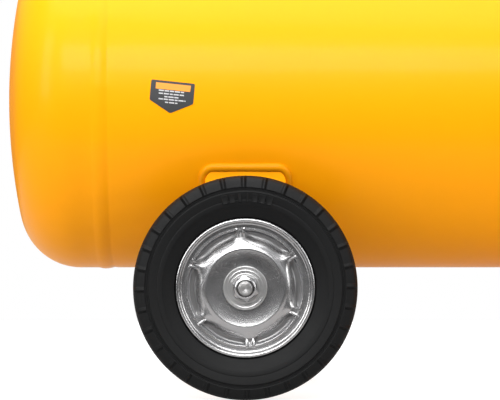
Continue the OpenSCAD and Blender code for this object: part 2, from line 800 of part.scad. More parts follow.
// belt of four layers that narrow toward the groove floor
belt_layers = 4;
module v_belt() color([0.04, 0.04, 0.04]) {
    for (k = [0:belt_layers - 1]) {
        half = belt_low + (belt_top - belt_low) * k / belt_layers;
        slab(belt_y - half, belt_y + half) difference() {
            union() loop(-belt_sink);
            union() loop(-belt_sink - belt_depth * (1 - k / belt_layers));
        }
    }
}

guard_t = 1.5;
guard_gap = 15;
guard_y1 = belt_y + flywheel_half + 10.5;

crank_hole_r = 36;
shaft_hole_r = 28;
back_y1 = plate_half_w + guard_t;
module belt_guard_back() color([0.06, 0.06, 0.06]) difference() {
    union() {
        at_crank() ycyl(fly_r + guard_gap, plate_half_w, back_y1);
        at_motor() ycyl(pulley_r + guard_gap, plate_half_w, back_y1);
        slab(plate_half_w, back_y1) loop_sides(guard_gap);
    }
    at_crank() ycyl(crank_hole_r, plate_half_w - 1, back_y1 + 1);
    at_motor() ycyl(shaft_hole_r, plate_half_w - 1, back_y1 + 1);
}

slot_pitch = 13;
slot_w = 56;
module belt_guard_front() color([0.06, 0.06, 0.06]) {
    slab(plate_half_w + guard_t, guard_y1 - guard_t) difference() {
        union() loop(guard_gap);
        union() loop(guard_gap - guard_t);
    }
    slab(guard_y1 - guard_t, guard_y1) difference() {
        loop(guard_gap);
        intersection() {
            loop(0);
            for (x = [-2:4], z = [-9:9]) translate([x * (slot_w + 8) + 20, z * slot_pitch])
                square([slot_w, slot_pitch - 6], center = true);
        }
    }
}

// air line from the cylinder head down to the check valve
tank_port_z = tank_z + tank_r + boss_h;
out_line_z = crank_z + cyl_top + gasket_t + out_z;
tube_bend = 28;
check_top = tank_port_z + 33;
line_z = tank_port_z + 9;

module discharge_tube() color([0.72, 0.45, 0.25]) {
    translate([0, 0, out_line_z]) xcyl(tube_r, check_x + tube_bend, pump_x - head_half + 8);
    translate([check_x + tube_bend, 0, out_line_z - tube_bend]) rotate([90, 0, 0]) rotate(90)
        rotate_extrude(angle = 90, $fn = 96) translate([tube_bend, 0]) circle(r = tube_r, $fn = 48);
    translate([check_x, 0, 0]) {
        zcyl(tube_r, check_top - 10, out_line_z - tube_bend);
        for (z = [check_top + 30:9:out_line_z - tube_bend - 20]) zcyl(tube_r + 7, z, z + 1.4);
    }
}

module check_valve() color([0.75, 0.6, 0.3]) translate([check_x, 0, 0]) difference() {
    union() {
        zcyl(port_r - fit_gap, tank_port_z - 12, tank_port_z + 1);
        zcyl(13, tank_port_z, tank_port_z + 19);
        hexz(26, tank_port_z + 19, check_top);
        translate([0, 0, line_z]) ycyl(6, -19, 0);
    }
    zcyl(5, tank_port_z - 13, check_top + 1);
    zcyl(tube_r + fit_gap, check_top - 10, check_top + 1);
    translate([0, 0, line_z]) ycyl(line_r + fit_gap, -20, -8);
}

// thin line from the check valve to the pressure switch, under the platform
line_r = 3;
line_bend = 12;
line_y = -20 - line_bend;
line_x1 = manifold_x - 29;
switch_z = tank_port_z + 61;

module unloader_tube() color([0.85, 0.85, 0.82]) {
    translate([check_x, 0, line_z]) ycyl(line_r, -20, -9);
    translate([check_x + line_bend, -20, line_z]) rotate(180)
        rotate_extrude(angle = 90, $fn = 64) translate([line_bend, 0]) circle(r = line_r, $fn = 24);
    translate([0, line_y, line_z]) xcyl(line_r, check_x + line_bend, line_x1 - line_bend);
    translate([line_x1 - line_bend, line_y, line_z + line_bend]) rotate([90, 0, 0]) rotate(-90)
        rotate_extrude(angle = 90, $fn = 64) translate([line_bend, 0]) circle(r = line_r, $fn = 24);
    translate([line_x1, line_y, 0]) zcyl(line_r, line_z + line_bend, switch_z);
}

module at_manifold() {
    translate([manifold_x, 0, switch_z - 17]) children();
}

module manifold() color([0.78, 0.62, 0.3]) at_manifold() difference() {
    union() {
        translate([-26, -20, -17]) cube([52, 40, 34]);
        zcyl(13, tank_port_z - switch_z + 17, -16);
        zcyl(port_r - fit_gap, tank_port_z - switch_z + 5, -16);
        hexz(32, tank_port_z - switch_z + 21, tank_port_z - switch_z + 31);
    }
    zcyl(5, tank_port_z - switch_z, 6);
    ycyl(6, -21, 21);
}

switch_w = 74;
switch_d = 78;
switch_h = 80;
module pressure_switch() color([0.06, 0.06, 0.06]) translate([manifold_x, 0, switch_z]) difference() {
    union() {
        linear_extrude(switch_h) rrect(switch_w, switch_d, 8);
        translate([0, 0, 28]) xcyl(10, switch_w / 2 - 1, switch_w / 2 + 8);
        translate([0, 0, 28]) xcyl(8.5, switch_w / 2 + 7, switch_w / 2 + 18);
    }
    translate([0, 0, 3]) linear_extrude(switch_h - 6) rrect(switch_w - 6, switch_d - 6, 5);
    translate([0, 0, 28]) xcyl(gland_bore / 2, switch_w / 2 - 5, switch_w / 2 + 20);
}

module switch_knob() color([0.8, 0.06, 0.04]) translate([manifold_x, 0, switch_z + switch_h + run_gap])
    difference() {
        union() {
            zcyl(8, 0, 8);
            zcyl(15, 7, 20);
        }
        for (a = [0:30:330]) rotate(a) translate([15.5, 0, 0]) zcyl(2, 6, 21);
    }

// lead between the motor box and the switch, held at both ends
lead_r = 3.5;
lead_bend = 20;
lead_low = switch_z + 71;
lead_high = motor_z + box_z + 19;
lead_x0 = motor_x + 46;
lead_x1 = manifold_x - switch_w / 2;
lead_mid = lead_x1 - 4 - lead_bend;
module motor_lead() color([0.05, 0.05, 0.05]) translate([0, motor_mid, 0]) {
    translate([0, 0, lead_low]) xcyl(lead_r, lead_mid + lead_bend, lead_x1);
    translate([lead_mid + lead_bend, 0, lead_low + lead_bend]) rotate([90, 0, 0]) rotate(180)
        rotate_extrude(angle = 90, $fn = 64) translate([lead_bend, 0]) circle(r = lead_r, $fn = 24);
    translate([lead_mid, 0, 0]) zcyl(lead_r, lead_low + lead_bend, lead_high - lead_bend);
    translate([lead_mid - lead_bend, 0, lead_high - lead_bend]) rotate([90, 0, 0])
        rotate_extrude(angle = 90, $fn = 64) translate([lead_bend, 0]) circle(r = lead_r, $fn = 24);
    translate([0, 0, lead_high]) xcyl(lead_r, lead_x0, lead_mid - lead_bend);
}

outlet_y = -43;
gauge_y = -54;
gauge_r = gauge_d / 2;
gauge_z = 24 + 8 + gauge_r;
regulator_end = -66;
module regulator_body() color([0.7, 0.71, 0.73]) at_manifold() difference() {
    union() {
        ycyl(6 - fit_gap, -20, -13);
        ycyl(12, -26, -20);
        ycyl(16.5, regulator_end, -25);
        translate([0, outlet_y, 0]) xcyl(12, 0, 26);
        translate([0, gauge_y, 0]) zcyl(9, 0, 24);
    }
    ycyl(3, -40, 0);
    translate([0, outlet_y, 0]) xcyl(6.5, 5, 27);
    translate([0, gauge_y, 0]) zcyl(5.5, 5, 25);
}

module regulator_knob() color([0.05, 0.05, 0.05]) at_manifold() difference() {
    ycyl(19, regulator_end - 32, regulator_end - run_gap);
    for (a = [0:24:336]) rotate([0, a, 0]) translate([19.6, 0, 0]) ycyl(2, regulator_end - 33, regulator_end - 6);
}

module at_gauge() {
    at_manifold() translate([0, gauge_y, gauge_z]) children();
}

dial_y = -4;
module gauge_case() color([0.1, 0.1, 0.1]) {
    at_gauge() difference() {
        union() {
            ycyl(gauge_r, -10, 10);
            zcyl(5.5 - fit_gap, -gauge_r - 14, -gauge_r + 4);
            hexz(14, -gauge_r - 8, -gauge_r + 2);
        }
        ycyl(gauge_r - 2.5, -11, dial_y);
    }
}

module gauge_needle() color([0.8, 0.1, 0.05]) at_gauge() {
    ycyl(1, dial_y - 3, dial_y - run_gap);
    ycyl(2.6, dial_y - 4, dial_y - 2);
    rotate([0, -135, 0]) translate([-0.8, dial_y - 3.4, -5]) cube([1.6, 0.8, gauge_r * 0.66 + 5]);
}

coupler_end = 64;
coupler_r = 10.5;
module coupler_body() color([0.75, 0.62, 0.3]) at_manifold() translate([0, outlet_y, 0]) difference() {
    union() {
        xcyl(6.5 - fit_gap, 14, 27);
        translate([26, 0, 0]) rotate([0, 90, 0]) hexz(21, 0, 8);
        xcyl(coupler_r, 33, coupler_end);
    }
    xcyl(coupler_bore / 2, 30, coupler_end + 1);
    xcyl(3, 13, 31);
}

module coupler_sleeve() color([0.7, 0.71, 0.73]) at_manifold() translate([0, outlet_y, 0]) difference() {
    union() {
        xcyl(13.5, 39, 58);
        for (x = [42:4:54]) xcyl(14.1, x, x + 1.6);
    }
    xcyl(coupler_r + run_gap, 30, 70);
}

module safety_valve() color([0.78, 0.62, 0.3]) at_manifold() {
    ycyl(6 - fit_gap, 14, 21);
    translate([0, 20, 0]) rotate([-90, 0, 0]) hexz(17, 0, 8);
    ycyl(8, 27, 52);
}

module safety_ring() color([0.7, 0.71, 0.73]) at_manifold() {
    ycyl(2, 52 + run_gap, 61);
    translate([0, 70, 0]) rotate_extrude($fn = 64) translate([10, 0]) circle(r = 1.5, $fn = 24);
}

drain_z = tank_ground - boss_h;
module drain_body() color([0.78, 0.62, 0.3]) translate([drain_x, 0, drain_z]) difference() {
    union() {
        zcyl(drain_port_r - fit_gap, -1, 10);
        hexz(19, -10, 0);
        zcyl(8, -20, -9);
        translate([0, 0, -15]) ycyl(5, -16, 0);
    }
    translate([0, 0, -15]) ycyl(3, -17, 0);
    zcyl(3, -15, 11);
}

module drain_knob() color([0.7, 0.71, 0.73]) translate([drain_x, 0, drain_z - 20 - run_gap]) {
    zcyl(4, -8, 0);
    translate([-14, -2.5, -16]) cube([28, 5, 9]);
}

tank_shell();
tank_heads();
welds();
wheel_brackets();
foot_bracket();
rubber_feet();
hex_bolts();
platform();
handle();
handle_grip();
tyre_front();
rim_outer_front();
rim_inner_front();
tyre_rear();
rim_outer_rear();
rim_inner_rear();
axle_bolts();
axle_washers();
axle_nuts();
crankcase();
crankcase_cover();
oil_sight_glass();
cylinder_block();
valve_plate();
cylinder_head();
air_filter();
crankshaft();
crank_bearings();
connecting_rod();
rod_pins();
piston();
flywheel();
motor_frame();
motor_end_bells();
motor_stator();
motor_rotor();
motor_fan();
motor_fan_cover();
motor_pulley();
capacitor_box();
v_belt();
belt_guard_back();
belt_guard_front();
discharge_tube();
check_valve();
unloader_tube();
manifold();
pressure_switch();
switch_knob();
regulator_body();
regulator_knob();
gauge_case();
gauge_needle();
coupler_body();
coupler_sleeve();
safety_valve();
safety_ring();
drain_body();
drain_knob();
motor_lead();
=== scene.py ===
import json
import math
import bpy
import bmesh
from mathutils import Matrix, Vector


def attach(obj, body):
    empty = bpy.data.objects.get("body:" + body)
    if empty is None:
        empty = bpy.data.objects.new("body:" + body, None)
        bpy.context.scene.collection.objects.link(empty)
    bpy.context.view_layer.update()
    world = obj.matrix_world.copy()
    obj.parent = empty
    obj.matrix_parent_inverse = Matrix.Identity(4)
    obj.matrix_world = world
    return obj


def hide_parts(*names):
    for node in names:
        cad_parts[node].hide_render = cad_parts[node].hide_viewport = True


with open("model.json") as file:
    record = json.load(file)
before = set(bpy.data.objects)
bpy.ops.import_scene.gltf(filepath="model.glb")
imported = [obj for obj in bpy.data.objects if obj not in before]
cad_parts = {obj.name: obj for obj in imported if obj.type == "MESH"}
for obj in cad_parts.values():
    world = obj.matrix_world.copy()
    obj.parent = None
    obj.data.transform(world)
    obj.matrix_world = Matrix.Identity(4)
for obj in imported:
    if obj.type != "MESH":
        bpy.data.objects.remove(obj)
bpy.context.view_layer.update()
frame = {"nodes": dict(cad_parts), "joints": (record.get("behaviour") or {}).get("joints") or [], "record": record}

print("frame loaded,", len(frame["nodes"]), "nodes")

class Wire:  # a node socket that can stand in a sum
    def __init__(self, tree, socket):
        self.tree = tree
        self.socket = socket

    def node(self, kind, settings=None, inputs=None, output=0):
        made = self.tree.nodes.new(kind)
        for key, value in (settings or {}).items():
            if key == "stops":
                ramp = made.color_ramp
                for spot, (place, colour) in enumerate(value):
                    stop = ramp.elements[spot] if spot < 1 else ramp.elements.new(place)
                    stop.position = place
                    stop.color = colour
                ramp.elements.remove(ramp.elements[-1])
            else:
                setattr(made, key, value)
        for key, value in (inputs or {}).items():
            if isinstance(value, Wire):
                self.tree.links.new(value.socket, made.inputs[key])
            else:
                made.inputs[key].default_value = value
        return Wire(self.tree, made.outputs[output])

    def other(self, output):  # another socket of the same node
        return Wire(self.tree, self.socket.node.outputs[output])

    def math(self, operation, first, second=0.0):
        return self.node("ShaderNodeMath", {"operation": operation}, {0: first, 1: second})

    def __add__(self, other):
        return self.math("ADD", self, other)

    def __radd__(self, other):
        return self.math("ADD", other, self)

    def __sub__(self, other):
        return self.math("SUBTRACT", self, other)

    def __rsub__(self, other):
        return self.math("SUBTRACT", other, self)

    def __mul__(self, other):
        return self.math("MULTIPLY", self, other)

    def __rmul__(self, other):
        return self.math("MULTIPLY", other, self)

    def __truediv__(self, other):
        return self.math("DIVIDE", self, other)

    def __pow__(self, other):
        return self.math("POWER", self, other)

    def sine(self):
        return self.math("SINE", self)

    def step(self, low, high):  # 0 below low, 1 above high
        return self.node("ShaderNodeMapRange", {"interpolation_type": "SMOOTHSTEP"},
                         {"Value": self, "From Min": low, "From Max": high})


class Finish:  # one material with its Principled shader and object coordinates
    def __init__(self, name, **sockets):
        self.material = bpy.data.materials.new(name)
        self.material.use_nodes = True
        self.tree = self.material.node_tree
        self.shader = self.tree.nodes["Principled BSDF"]
        for key, value in sockets.items():
            self.shader.inputs[key.replace("_", " ")].default_value = value
        self.wire = Wire(self.tree, None)
        self.point = self.wire.node("ShaderNodeTexCoord", output=3)

    def moved(self, place=(0, 0, 0), turn=(0, 0, 0), scale=(1, 1, 1)):
        return self.wire.node("ShaderNodeMapping", {}, {"Vector": self.point, "Location": place,
                                                        "Rotation": turn, "Scale": scale})

    def noise(self, scale, detail=3.0, rough=0.5, at=None):
        return self.wire.node("ShaderNodeTexNoise", {}, {"Vector": at or self.point, "Scale": scale,
                                                         "Detail": detail, "Roughness": rough})

    def mix(self, amount, first, second):
        return self.wire.node("ShaderNodeMix", {"data_type": "RGBA"}, {0: amount, 6: first, 7: second}, 2)

    def parts(self, at):
        first = self.wire.node("ShaderNodeSeparateXYZ", {}, {0: at})
        return [first.other(k) for k in range(3)]

    def feed(self, name, wire):
        self.tree.links.new(wire.socket, self.shader.inputs[name])

    def bump(self, height, distance, strength=1.0):
        self.feed("Normal", self.wire.node("ShaderNodeBump", {}, {"Height": height, "Distance": distance,
                                                                 "Strength": strength}))


def shade(colour, factor):
    return tuple(min(1.0, c * factor) for c in colour[:3]) + (1.0,)


def powderCoat(name, colour, rough=0.34, peel=0.00009, coat=0.035):
    f = Finish(name, Roughness=rough, Coat_Roughness=0.12, Specular_IOR_Level=0.07)
    cloud = f.noise(7.0, 4.0)
    fine = f.noise(60.0, 3.0)
    f.feed("Base Color", f.mix(cloud * 0.7 + fine * 0.3, shade(colour, 0.955), shade(colour, 1.03)))
    f.feed("Roughness", rough - 0.05 + 0.1 * f.noise(25.0, 4.0))
    f.feed("Coat Weight", coat * (0.7 + 0.6 * cloud))
    f.bump(f.noise(310.0, 2.0) + 0.35 * f.noise(900.0, 1.0), peel)
    return f.material


def casting(name, colour, rough=0.55, metal=0.0, grain=0.00035):
    f = Finish(name, Metallic=metal, Roughness=rough)
    lumps = f.noise(420.0, 5.0, 0.6)
    f.feed("Base Color", f.mix(f.noise(30.0, 5.0), shade(colour, 0.82), shade(colour, 1.16)))
    f.feed("Roughness", rough - 0.1 + 0.22 * lumps)
    f.bump(lumps + 0.4 * f.noise(1500.0, 2.0), grain)
    return f.material


def turnedMetal(name, colour, rough=0.28, streak=0.12, grain=0.00004):
    f = Finish(name, Metallic=1.0, Roughness=rough)
    cloud = f.noise(55.0, 4.0)
    lines = f.noise(1.0, 3.0, 0.6, f.moved(scale=(70, 900, 900)))
    f.feed("Base Color", f.mix(cloud * 0.6 + lines * 0.4, shade(colour, 0.88), shade(colour, 1.07)))
    f.feed("Roughness", rough - streak / 2 + streak * lines + 0.06 * cloud)
    f.bump(lines + 0.5 * f.noise(1300.0, 2.0), grain)
    return f.material


def moulded(name, colour, rough=0.45, grain=0.00009):
    f = Finish(name, Roughness=rough, Specular_IOR_Level=0.45)
    pebble = f.wire.node("ShaderNodeTexVoronoi", {"feature": "SMOOTH_F1"},
                         {"Vector": f.point, "Scale": 900.0})
    f.feed("Base Color", f.mix(f.noise(18.0, 4.0), shade(colour, 0.85), shade(colour, 1.2)))
    f.feed("Roughness", rough - 0.07 + 0.16 * f.noise(70.0, 4.0))
    f.bump(pebble + 0.5 * f.noise(240.0, 3.0), grain)
    return f.material


def rubberFinish(name, colour, rough=0.62, dust=0.35):
    f = Finish(name, Roughness=rough, Specular_IOR_Level=0.19)
    mottle = f.noise(34.0, 6.0, 0.62)
    fine = f.noise(700.0, 3.0)
    dustAndShadeMask = f.noise(11.0, 3.0).step(0.42, 0.75)
    grey = f.mix(dustAndShadeMask * dust * mottle, shade(colour, 1.0), shade(colour, 2.3))
    f.feed("Base Color", f.mix(fine * 0.5, grey, shade(colour, 0.7)))
    f.feed("Roughness", rough - 0.1 + 0.2 * mottle)
    f.bump(mottle * 0.8 + fine * 0.5, 0.00016)
    return f.material


wheelPlace = Vector(next(j for j in frame["joints"] if j["name"] == "front_wheel_spin")["pos_m"])
rearPlace = Vector(next(j for j in frame["joints"] if j["name"] == "rear_wheel_spin")["pos_m"])


def ringedSteel(name, colour, rough, pitch, depth):  # concentric tool marks round the axle
    f = Finish(name, Metallic=1.0, Roughness=rough)
    x, y, z = f.parts(f.moved(place=(-wheelPlace.x, 0, -wheelPlace.z)))
    radius = (x * x + z * z) ** 0.5
    rings = (radius * (math.tau / pitch) + 3.0 * f.noise(40.0, 2.0)).sine()
    cloud = f.noise(45.0, 5.0, 0.6)
    f.feed("Base Color", f.mix(cloud, shade(colour, 0.84), shade(colour, 1.08)))
    f.feed("Roughness", rough - 0.04 + 0.06 * rings + 0.1 * cloud)
    f.bump(rings + 0.8 * f.noise(1500.0, 2.0), depth)
    return f.material


def zincSheet(name, colour, rough, paintedShadeRing=None):  # pressed and plated sheet with faint drawing grain
    f = Finish(name, Metallic=1.0, Roughness=rough)
    cloud = f.noise(38.0, 5.0, 0.65)
    spangle = f.wire.node("ShaderNodeTexVoronoi", {}, {"Vector": f.point, "Scale": 420.0}, 0)
    grain = f.noise(1900.0, 2.0)
    tone = f.mix(cloud * 0.7 + spangle * 0.3, shade(colour, 0.86), shade(colour, 1.08))
    dustAndShadeMask = 0.0
    if paintedShadeRing:  # painted shade: a darker ring round the axle over the disc's valley, from one radius to another
        x, y, z = f.parts(f.moved(place=(-wheelPlace.x, 0, -wheelPlace.z)))
        radius = (x * x + z * z) ** 0.5
        dustAndShadeMask = radius.step(paintedShadeRing[0] - 0.002, paintedShadeRing[0]) * (1 - radius.step(paintedShadeRing[1], paintedShadeRing[1] + 0.002))
        tone = f.mix(dustAndShadeMask * (0.55 + 0.3 * cloud), tone, shade(colour, 0.22))
    f.feed("Base Color", tone)
    f.feed("Roughness", rough - 0.06 + 0.12 * cloud + 0.05 * grain + 0.14 * dustAndShadeMask)
    f.bump(cloud * 1.4 + grain * 0.35, 0.00012)
    return f.material


def amberGlass(name):
    f = Finish(name, Roughness=0.05, IOR=1.47, Transmission_Weight=0.85)
    f.feed("Base Color", f.mix(f.noise(60.0), (0.9, 0.62, 0.2, 1), (0.95, 0.8, 0.4, 1)))
    return f.material


finishes = {
    "tank_paint": powderCoat("tankYellow", (0.97, 0.352, 0.0022)),
    "black_paint": powderCoat("guardBlack", (0.022, 0.022, 0.024), 0.38, 0.00016, 0.1),
    "motor_paint": casting("motorBlack", (0.035, 0.036, 0.04), 0.42, 0.0, 0.0002),
    "tyre_rubber": rubberFinish("tyreRubber", (0.0026, 0.0027, 0.0028), 0.6),
    "soft_rubber": rubberFinish("gripRubber", (0.02, 0.02, 0.02), 0.7),
    "zinc_steel": zincSheet("zincSheet", (0.42, 0.415, 0.415), 0.23),
    "bare_steel": turnedMetal("turnedSteel", (0.55, 0.55, 0.56), 0.3),
    "pump_iron": casting("pumpIron", (0.045, 0.046, 0.05), 0.5, 0.0, 0.0004),
    "cast_aluminium": casting("castAluminium", (0.56, 0.57, 0.585), 0.42, 1.0, 0.0003),
    "copper": turnedMetal("drawnCopper", (0.72, 0.36, 0.2), 0.26),
    "brass_parts": turnedMetal("turnedBrass", (0.72, 0.5, 0.2), 0.25),
    "nickel": turnedMetal("nickelPlate", (0.72, 0.71, 0.69), 0.15, 0.06),
    "black_plastic": moulded("mouldedBlack", (0.028, 0.028, 0.03)),
    "red_plastic": moulded("mouldedRed", (0.62, 0.02, 0.012), 0.32, 0.00004),
    "white_nylon": moulded("tubeNylon", (0.72, 0.72, 0.68), 0.4, 0.00003),
    "sight_glass": amberGlass("sightGlass"),
}
# painted sheen: the groove floors get a much lighter rubber, standing in for the top light they catch
paintedGrooveSheen = rubberFinish("paintedGrooveSheen", (0.06, 0.061, 0.062), 0.7)
# the rim disc's valley between the tabs is darkened here as painted shade
rimSteel = zincSheet("rimSteel", (0.42, 0.415, 0.415), 0.23, paintedShadeRing=(0.0466, 0.0532))
washerSteel = ringedSteel("washerSteel", (0.44, 0.435, 0.43), 0.34, 0.0016, 0.00005)
boltSteel = ringedSteel("boltSteel", (0.36, 0.355, 0.35), 0.36, 0.0011, 0.00004)
# painted shade: the bracket welds take the tank's yellow darkened by about a quarter
weldShadedPaint = powderCoat("weldYellowShaded", (0.74, 0.262, 0.0017), 0.3, 0.00016)
labelGrey = moulded("labelGrey", (0.032, 0.032, 0.034), 0.5, 0.00002)
labelOrange = moulded("labelOrange", (0.88, 0.3, 0.03), 0.45, 0.00002)
labelLight = moulded("labelLight", (0.55, 0.55, 0.56), 0.5, 0.00002)
dialWhite = moulded("dialWhite", (0.85, 0.85, 0.83), 0.5, 0.00002)
print("finishes made:", len(finishes) + 9)

slotOf = {part["node"]: part["material_slot"] for part in frame["record"]["subparts"]}
for name, thing in frame["nodes"].items():
    thing.data.materials.clear()
    thing.data.materials.append(finishes[slotOf[name]])

cameraAt = {"place": (-0.1788, -2.78, 0.1811), "lens": 206.85}


def makeCamera(data):
    lens = bpy.data.cameras.new("camera")
    lens.lens = data["lens"]
    lens.sensor_width = 36
    lens.clip_start = 0.05
    eye = bpy.data.objects.new("camera", lens)
    eye.location = data["place"]
    eye.rotation_euler = (math.pi / 2, 0, 0)
    bpy.context.scene.collection.objects.link(eye)
    bpy.context.scene.camera = eye


def link(name, mesh):
    thing = bpy.data.objects.new(name, mesh)
    bpy.context.scene.collection.objects.link(thing)
    return thing


floorLook = {"low": (-1.5, -0.55), "high": (1.5, 1.5), "colour": (0.3, 0.3, 0.3, 1), "glow": 0.85,
             "spill": 0.34}


def makeFloor(data):
    bm = bmesh.new()
    made = bmesh.ops.create_grid(bm, x_segments=1, y_segments=1, size=0.5)["verts"]
    (x0, y0), (x1, y1) = data["low"], data["high"]
    bmesh.ops.scale(bm, vec=(x1 - x0, y1 - y0, 1), verts=made)
    bmesh.ops.translate(bm, vec=((x0 + x1) / 2, (y0 + y1) / 2, 0), verts=made)
    mesh = bpy.data.meshes.new("floor")
    bm.to_mesh(mesh)
    bm.free()
    floor = link("floor", mesh)
    f = Finish("floorPaper", Roughness=0.8, Emission_Strength=data["glow"])
    # white to look at, dimmer as a light on the machine
    seen = f.wire.node("ShaderNodeLightPath", output=0)
    f.feed("Emission Color", f.mix(seen, shade((1, 1, 1, 1), data["spill"]), (1, 1, 1, 1)))
    f.feed("Base Color", f.mix(f.noise(3.0), shade(data["colour"], 0.98), shade(data["colour"], 1.02)))
    mesh.materials.append(f.material)


# name, place, aims at, size across, size up, watts
softboxes = [
    ("topBox", (-0.4, -0.5, 2.3), (-0.15, 0, 0.3), 2.6, 1.6, 60),
    ("leftBox", (-2.2, -1.5, 1.2), (-0.15, 0, 0.2), 0.7, 1.7, 28),
    ("rightBox", (2.2, -1.7, 1.1), (-0.15, 0, 0.2), 0.6, 1.6, 20),
    ("frontBox", (-0.6, -3.5, 2.1), (-0.15, 0, 0.15), 2.4, 1.2, 106),
    ("backBox", (0.3, 2.4, 1.8), (0, 0, 0.3), 2.0, 1.2, 30),
]


def makeLights(boxes):
    for name, place, aim, wide, tall, watts in boxes:
        lamp = bpy.data.lights.new(name, "AREA")
        lamp.shape = "RECTANGLE"
        lamp.size = wide
        lamp.size_y = tall
        lamp.energy = watts
        holder = bpy.data.objects.new(name, lamp)
        holder.location = place
        holder.rotation_euler = (Vector(aim) - Vector(place)).to_track_quat("-Z", "Y").to_euler()
        bpy.context.scene.collection.objects.link(holder)


def makeWorld():  # white behind everything, softer round the sides for the reflections
    world = bpy.data.worlds.new("studio")
    bpy.context.scene.world = world
    world.use_nodes = True
    tree = world.node_tree
    back = tree.nodes["Background"]
    wire = Wire(tree, None)
    toward = wire.node("ShaderNodeTexCoord", output=0)
    up = wire.node("ShaderNodeSeparateXYZ", {}, {0: toward}, 2)
    sky = wire.node("ShaderNodeMix", {"data_type": "RGBA"},
                    {0: up.step(-0.1, 0.42), 6: (0.05, 0.05, 0.052, 1), 7: (0.6, 0.61, 0.63, 1)}, 2)
    seen = wire.node("ShaderNodeLightPath", output=0)
    both = wire.node("ShaderNodeMix", {"data_type": "RGBA"}, {0: seen, 6: sky, 7: (1, 1, 1, 1)}, 2)
    tree.links.new(both.socket, back.inputs["Color"])
    back.inputs["Strength"].default_value = 1.0


makeCamera(cameraAt)
makeFloor(floorLook)
makeLights(softboxes)
makeWorld()
bpy.context.scene.view_settings.view_transform = "Standard"
print("camera, floor and lights stand")

mm = 0.001


def strand(bm, points, closed=False):  # a run of edges through (radius, out) points, in mm
    verts = [bm.verts.new((r * mm, 0, w * mm)) for r, w in points]
    pairs = list(zip(verts, verts[1:])) + ([(verts[-1], verts[0])] if closed else [])
    return verts + [bm.edges.new(pair) for pair in pairs]


def spun(points, steps, closed=True, bm=None):  # turn a section round local Z
    bm = bm or bmesh.new()
    geom = strand(bm, points, closed)
    bmesh.ops.spin(bm, geom=geom, cent=(0, 0, 0), axis=(0, 0, 1), angle=math.tau, steps=steps,
                   use_merge=True)
    bmesh.ops.remove_doubles(bm, verts=bm.verts, dist=0.000002)
    return bm


def rounded(points, radius, turns=3):  # section corners softened, radius in mm for each inner point
    out = [points[0]]
    for before, here, after in zip(points, points[1:], points[2:]):
        a, b, c = (Vector(p) for p in (before, here, after))
        reach = min(radius, (a - b).length * 0.45, (c - b).length * 0.45)
        start, end = b + (a - b).normalized() * reach, b + (c - b).normalized() * reach
        for k in range(turns + 1):
            t = k / turns
            out.append(tuple(start * (1 - t) ** 2 + b * (2 * t * (1 - t)) + end * t * t))
    return out + [points[-1]]


def settle(bm, name, finish, body, turn=None, sharp=32, replaced=()):
    bmesh.ops.remove_doubles(bm, verts=bm.verts, dist=0.000002)
    if turn is not None:
        bmesh.ops.transform(bm, matrix=turn, verts=bm.verts)
    bmesh.ops.recalc_face_normals(bm, faces=bm.faces)
    mesh = bpy.data.meshes.new(name)
    bm.to_mesh(mesh)
    bm.free()
    mesh.materials.append(finish)
    mesh.shade_smooth()
    mesh.set_sharp_from_angle(angle=math.radians(sharp))
    piece = link(name, mesh)
    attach(piece, body)
    if replaced:
        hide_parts(*replaced)
    return piece


def block(bm, low, high, bevel=0.0, segments=2):  # a box between two corners in mm, edges rounded
    made = bmesh.ops.create_cube(bm, size=1)["verts"]
    size = [(b - a) * mm for a, b in zip(low, high)]
    middle = [(a + b) / 2 * mm for a, b in zip(low, high)]
    bmesh.ops.scale(bm, vec=size, verts=made)
    bmesh.ops.translate(bm, vec=middle, verts=made)
    if bevel:
        edges = list({e for v in made for e in v.link_edges})
        result = bmesh.ops.bevel(bm, geom=edges, offset=bevel * mm, segments=segments, affect="EDGES",
                                 profile=0.5, material=-1, clamp_overlap=True)
        made = list({v for f in result["faces"] for v in f.verts} | {v for v in made if v.is_valid})
    return made


def rod(bm, radius, low, high, sides=32, bevel=0.0, segments=2):  # along local Z, in mm
    made = bmesh.ops.create_cone(bm, cap_ends=True, segments=sides, radius1=radius * mm,
                                 radius2=radius * mm, depth=(high - low) * mm)["verts"]
    bmesh.ops.translate(bm, vec=(0, 0, (low + high) / 2 * mm), verts=made)
    if bevel:
        rims = [e for e in {e for v in made for e in v.link_edges}
                if abs(e.verts[0].co.z - e.verts[1].co.z) < 1e-7]
        result = bmesh.ops.bevel(bm, geom=rims, offset=bevel * mm, segments=segments, affect="EDGES",
                                 profile=0.5, material=-1, clamp_overlap=True)
        made = list({v for f in result["faces"] for v in f.verts} | {v for v in made if v.is_valid})
    return made


def island(seed):  # every vertex joined to the first one
    found, queue = set(), [seed]
    while queue:
        vert = queue.pop()
        if vert not in found:
            found.add(vert)
            queue += [e.other_vert(vert) for e in vert.link_edges]
    return list(found)


def turned(bm, verts, degrees):
    bmesh.ops.rotate(bm, cent=(0, 0, 0), matrix=Matrix.Rotation(math.radians(degrees), 3, "Z"), verts=verts)


frontTurn = Matrix.Translation(wheelPlace) @ Matrix.Rotation(math.pi / 2, 4, "X")
rearTurn = Matrix.Translation(rearPlace) @ Matrix.Rotation(-math.pi / 2, 4, "X")
wheels = [("Front", "front", "wheel_front", frontTurn), ("Rear", "rear", "wheel_rear", rearTurn)]

tyreLook = {
    "radius": 101.6, "blocks": 32, "stepsPerBlock": 12, "grooveDepth": 1.7, "grooveFrom": 91.4,
    "markRadius": 81.6, "markFrom": 105.5, "markTo": 72.0, "markHeight": 0.8,
}


